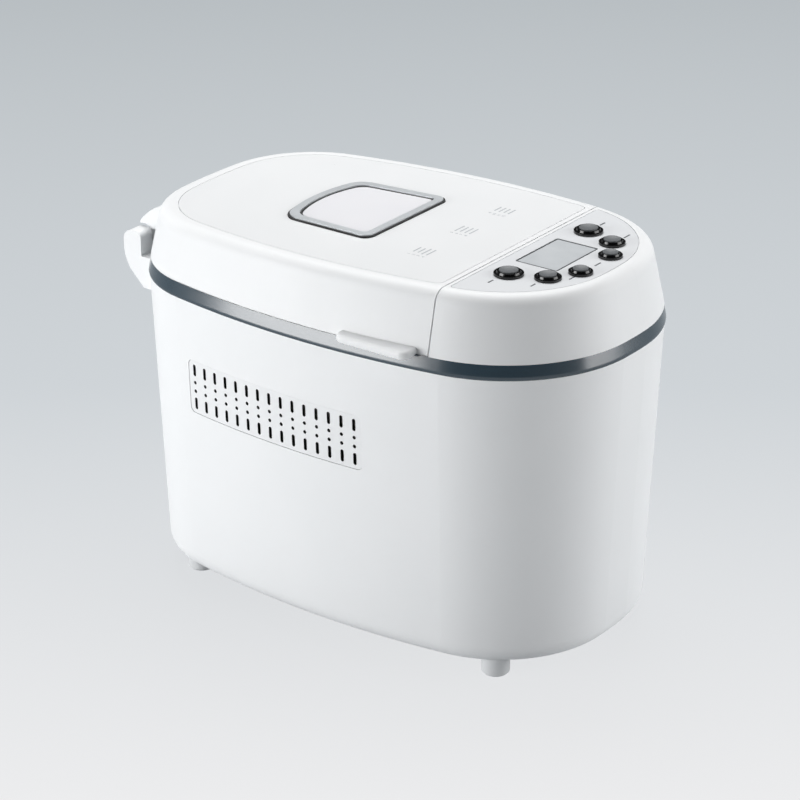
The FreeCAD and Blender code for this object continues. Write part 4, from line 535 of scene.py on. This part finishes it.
def bar_tree():
    """Geometry Nodes: one flat bar of varied length on each point, laid on the slope of the lid."""
    tree = bpy.data.node_groups.new("printed_bars", "GeometryNodeTree")
    sockets = {}
    for name, kind in (("Points", "NodeSocketGeometry"), ("Bar Length", "NodeSocketFloat"),
                       ("Bar Height", "NodeSocketFloat"), ("Film", "NodeSocketFloat"),
                       ("Slope", "NodeSocketFloat"), ("Ink", "NodeSocketMaterial")):
        sockets[name] = tree.interface.new_socket(name, in_out="INPUT", socket_type=kind).identifier
    tree.interface.new_socket("Print", in_out="OUTPUT", socket_type="NodeSocketGeometry")
    given = add(tree, "NodeGroupInput").outputs
    size = add(tree, "ShaderNodeCombineXYZ", inputs={
        "X": given["Bar Length"], "Y": given["Bar Height"], "Z": given["Film"]})
    bar = add(tree, "GeometryNodeMeshCube", inputs={"Size": size.outputs["Vector"]})
    tilt = add(tree, "ShaderNodeCombineXYZ", inputs={"X": given["Slope"]})
    turn = add(tree, "FunctionNodeEulerToRotation", inputs={"Euler": tilt.outputs["Vector"]})
    length = add(tree, "FunctionNodeRandomValue", {"data_type": "FLOAT_VECTOR"}, {
        "Min": (SHORTEST_BAR, 1, 1), "Max": (1, 1, 1), "Seed": BAR_SEED})
    placed = add(tree, "GeometryNodeInstanceOnPoints", inputs={
        "Points": given["Points"], "Instance": bar.outputs["Mesh"], "Rotation": turn.outputs["Rotation"],
        "Scale": length.outputs["Value"]})
    plain = add(tree, "GeometryNodeRealizeInstances", inputs={"Geometry": placed.outputs["Instances"]})
    inked = add(tree, "GeometryNodeSetMaterial", inputs={
        "Geometry": plain.outputs["Geometry"], "Material": given["Ink"]})
    add(tree, "NodeGroupOutput", inputs={"Print": inked.outputs["Geometry"]})
    return tree, sockets


BAR_TREE, BAR_SOCKETS = bar_tree()


def plain_mesh(thing):
    """The evaluated shape of an object as a mesh of its own; the object is removed."""
    bpy.context.view_layer.update()
    seen = thing.evaluated_get(bpy.context.evaluated_depsgraph_get())
    mesh = bpy.data.meshes.new_from_object(seen)
    bpy.data.objects.remove(thing)
    return mesh


def printed_bars(name, spots, size, slope, ink):
    """One bar of print on each spot, as a plain mesh."""
    length, height = size
    thing = linked(name, mesh_of(name, spots, []))
    modifier = thing.modifiers.new("print", "NODES")
    modifier.node_group = BAR_TREE
    for key, value in (("Bar Length", length), ("Bar Height", height), ("Film", INK_THICKNESS),
                       ("Slope", slope), ("Ink", ink)):
        modifier[BAR_SOCKETS[key]] = value
    return plain_mesh(thing)


def printed_number(number, place):
    """A numeral on the lid, as a thin film."""
    data = bpy.data.curves.new("number", "FONT")
    data.body = str(number)
    data.size = NUMBER_SIZE
    data.align_x = "RIGHT"
    data.align_y = "CENTER"
    data.extrude = INK_THICKNESS / 2
    data.resolution_u = NUMBER_CURVE_STEPS
    mesh = plain_mesh(linked("number", data))
    mesh.transform(Matrix.Translation(place) @ Matrix.Rotation(-LID_SLOPE, 4, "X"))
    return mesh


def joined(name, meshes):
    """Several meshes as one."""
    shape = bmesh.new()
    for mesh in meshes:
        shape.from_mesh(mesh)
    result = bpy.data.meshes.new(name)
    shape.to_mesh(result)
    shape.free()
    return result


def programme_print():
    film = INK_THICKNESS / 2 + INK_LIFT
    numbers, spots = [], []
    for block, (x, y) in enumerate(PROGRAMME_BLOCKS):
        for row in range(PROGRAMME_ROWS):
            row_y = y + ((PROGRAMME_ROWS - 1) / 2 - row) * ROW_PITCH
            level = lid_height(row_y) + film
            number = block * PROGRAMME_ROWS + row + 1
            numbers.append(printed_number(number, (x - NUMBER_SHIFT, row_y, level)))
            spots.append((x, row_y, level))
    bars = printed_bars("programme_bars", spots, PROGRAMME_BAR, -LID_SLOPE, FAINT_INK)
    mesh = joined("programme_print", numbers + [bars])
    new_piece("programme_print", mesh, FAINT_INK, "lid")


def key_print():
    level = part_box("control_fascia")[1][2] + INK_THICKNESS / 2 + INK_LIFT
    spots = []
    for key, (across, along) in KEY_BAR_OFFSETS.items():
        low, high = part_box(key)
        spots.append(((low[0] + high[0]) / 2 + across, (low[1] + high[1]) / 2 + along, level))
    bars = printed_bars("key_print", spots, KEY_BAR, 0, DARK_INK)
    new_piece("key_print", bars, DARK_INK, "housing")


programme_print()
key_print()


# Studio: pale floor, soft lamps, camera at the photograph's angle

CAMERA_PLACE = Vector((-1.390, -1.01885, 0.906))
CAMERA_TARGET = Vector((-0.00685, -0.01214, 0.13717))
FOCAL_MM = 128.25
SENSOR_MM = 36.0

FLOOR_REACH = 40.0
FLOOR_GREY = "C2C5C8"
BACKDROP_SHARE = 0.92
# Painted shade of the backdrop's glow along the view, from a start to an end on either side of the object
FADE_START = -0.3
FADE_END = 1.3
NEAR_PAINTED_SHADE = "F1F1F2"
MIDDLE_PAINTED_SHADE = "CFD4D8"
MIDDLE_SHARE = 0.37
FAR_PAINTED_SHADE = "BAC0C4"

LAMP_TARGET = (0, 0, 0.13)
# Name, place, width and height in metres, and watts of each lamp
LAMPS = (
    ("left_softbox", (-1.63, 0.98, 0.46), 1.2, 0.9, 32),
    ("front_softbox", (0.86, -1.69, 0.6), 1.5, 1.2, 26),
    ("top_softbox", (0.55, 0.4, 1.64), 1.2, 1.2, 28),
)
AIR_GREY = "B9BBBE"
AIR_STRENGTH = 0.06


def look_at(thing, place, target):
    """Put a lamp or camera at a place and turn it to a target."""
    thing.location = place
    thing.rotation_euler = (Vector(target) - Vector(place)).to_track_quat("-Z", "Y").to_euler()


def studio_paper():
    """Matt paper with a soft shadow, glowing in a painted shade that darkens away from the viewer."""
    material, tree, shader, where = new_material("studio_paper")
    set_shader(shader, Base_Color=colour(FLOOR_GREY), Roughness=0.9, Specular_IOR_Level=0.1)
    away = (CAMERA_TARGET - CAMERA_PLACE).normalized()
    along = add(tree, "ShaderNodeVectorMath", {"operation": "DOT_PRODUCT"}, {
        0: where, 1: (away.x, away.y, 0)})
    fade = add(tree, "ShaderNodeMapRange", inputs={
        "Value": along.outputs["Value"], "From Min": FADE_START, "From Max": FADE_END})
    # Painted shade: the backdrop's glow fades from light near the viewer to darker far away.
    paper = add(tree, "ShaderNodeValToRGB", inputs={"Fac": fade.outputs["Result"]})
    stops = paper.color_ramp.elements
    stops[0].color = colour(NEAR_PAINTED_SHADE)
    stops[1].color = colour(FAR_PAINTED_SHADE)
    stops.new(MIDDLE_SHARE).color = colour(MIDDLE_PAINTED_SHADE)
    glow = add(tree, "ShaderNodeEmission", inputs={"Color": paper.outputs["Color"]})
    ray = add(tree, "ShaderNodeLightPath").outputs
    seen = ray["Is Camera Ray"]
    for kind in ("Is Glossy Ray", "Is Transmission Ray"):
        seen = add(tree, "ShaderNodeMath", {"operation": "MAXIMUM"}, {0: seen, 1: ray[kind]}).outputs["Value"]
    share = add(tree, "ShaderNodeMath", {"operation": "MULTIPLY"}, {0: seen, 1: BACKDROP_SHARE})
    mix = add(tree, "ShaderNodeMixShader", inputs={
        "Fac": share.outputs["Value"], 1: shader.outputs["BSDF"], 2: glow.outputs["Emission"]})
    tree.links.new(mix.outputs["Shader"], tree.nodes["Output"].inputs["Surface"])
    return material


def studio_floor():
    corners = [(x * FLOOR_REACH, y * FLOOR_REACH, 0) for x, y in ((-1, -1), (1, -1), (1, 1), (-1, 1))]
    mesh = mesh_of("studio_floor", corners, [(0, 1, 2, 3)])
    mesh.materials.append(studio_paper())
    linked("studio_floor", mesh)


def lamp(name, place, width, height, watts):
    data = bpy.data.lights.new(name, "AREA")
    data.shape = "RECTANGLE"
    data.size = width
    data.size_y = height
    data.energy = watts
    look_at(linked(name, data), place, LAMP_TARGET)


def studio_air():
    """A dim grey world that fills the shade."""
    world = bpy.data.worlds.new("studio_air")
    world.use_nodes = True
    background = world.node_tree.nodes["Background"]
    background.inputs["Color"].default_value = colour(AIR_GREY)
    background.inputs["Strength"].default_value = AIR_STRENGTH
    bpy.context.scene.world = world


def camera():
    data = bpy.data.cameras.new("camera")
    data.lens = FOCAL_MM
    data.sensor_width = SENSOR_MM
    thing = linked("camera", data)
    look_at(thing, CAMERA_PLACE, CAMERA_TARGET)
    bpy.context.scene.camera = thing


bpy.context.scene.view_settings.view_transform = "Standard"
studio_floor()
for setting in LAMPS:
    lamp(*setting)
studio_air()
camera()
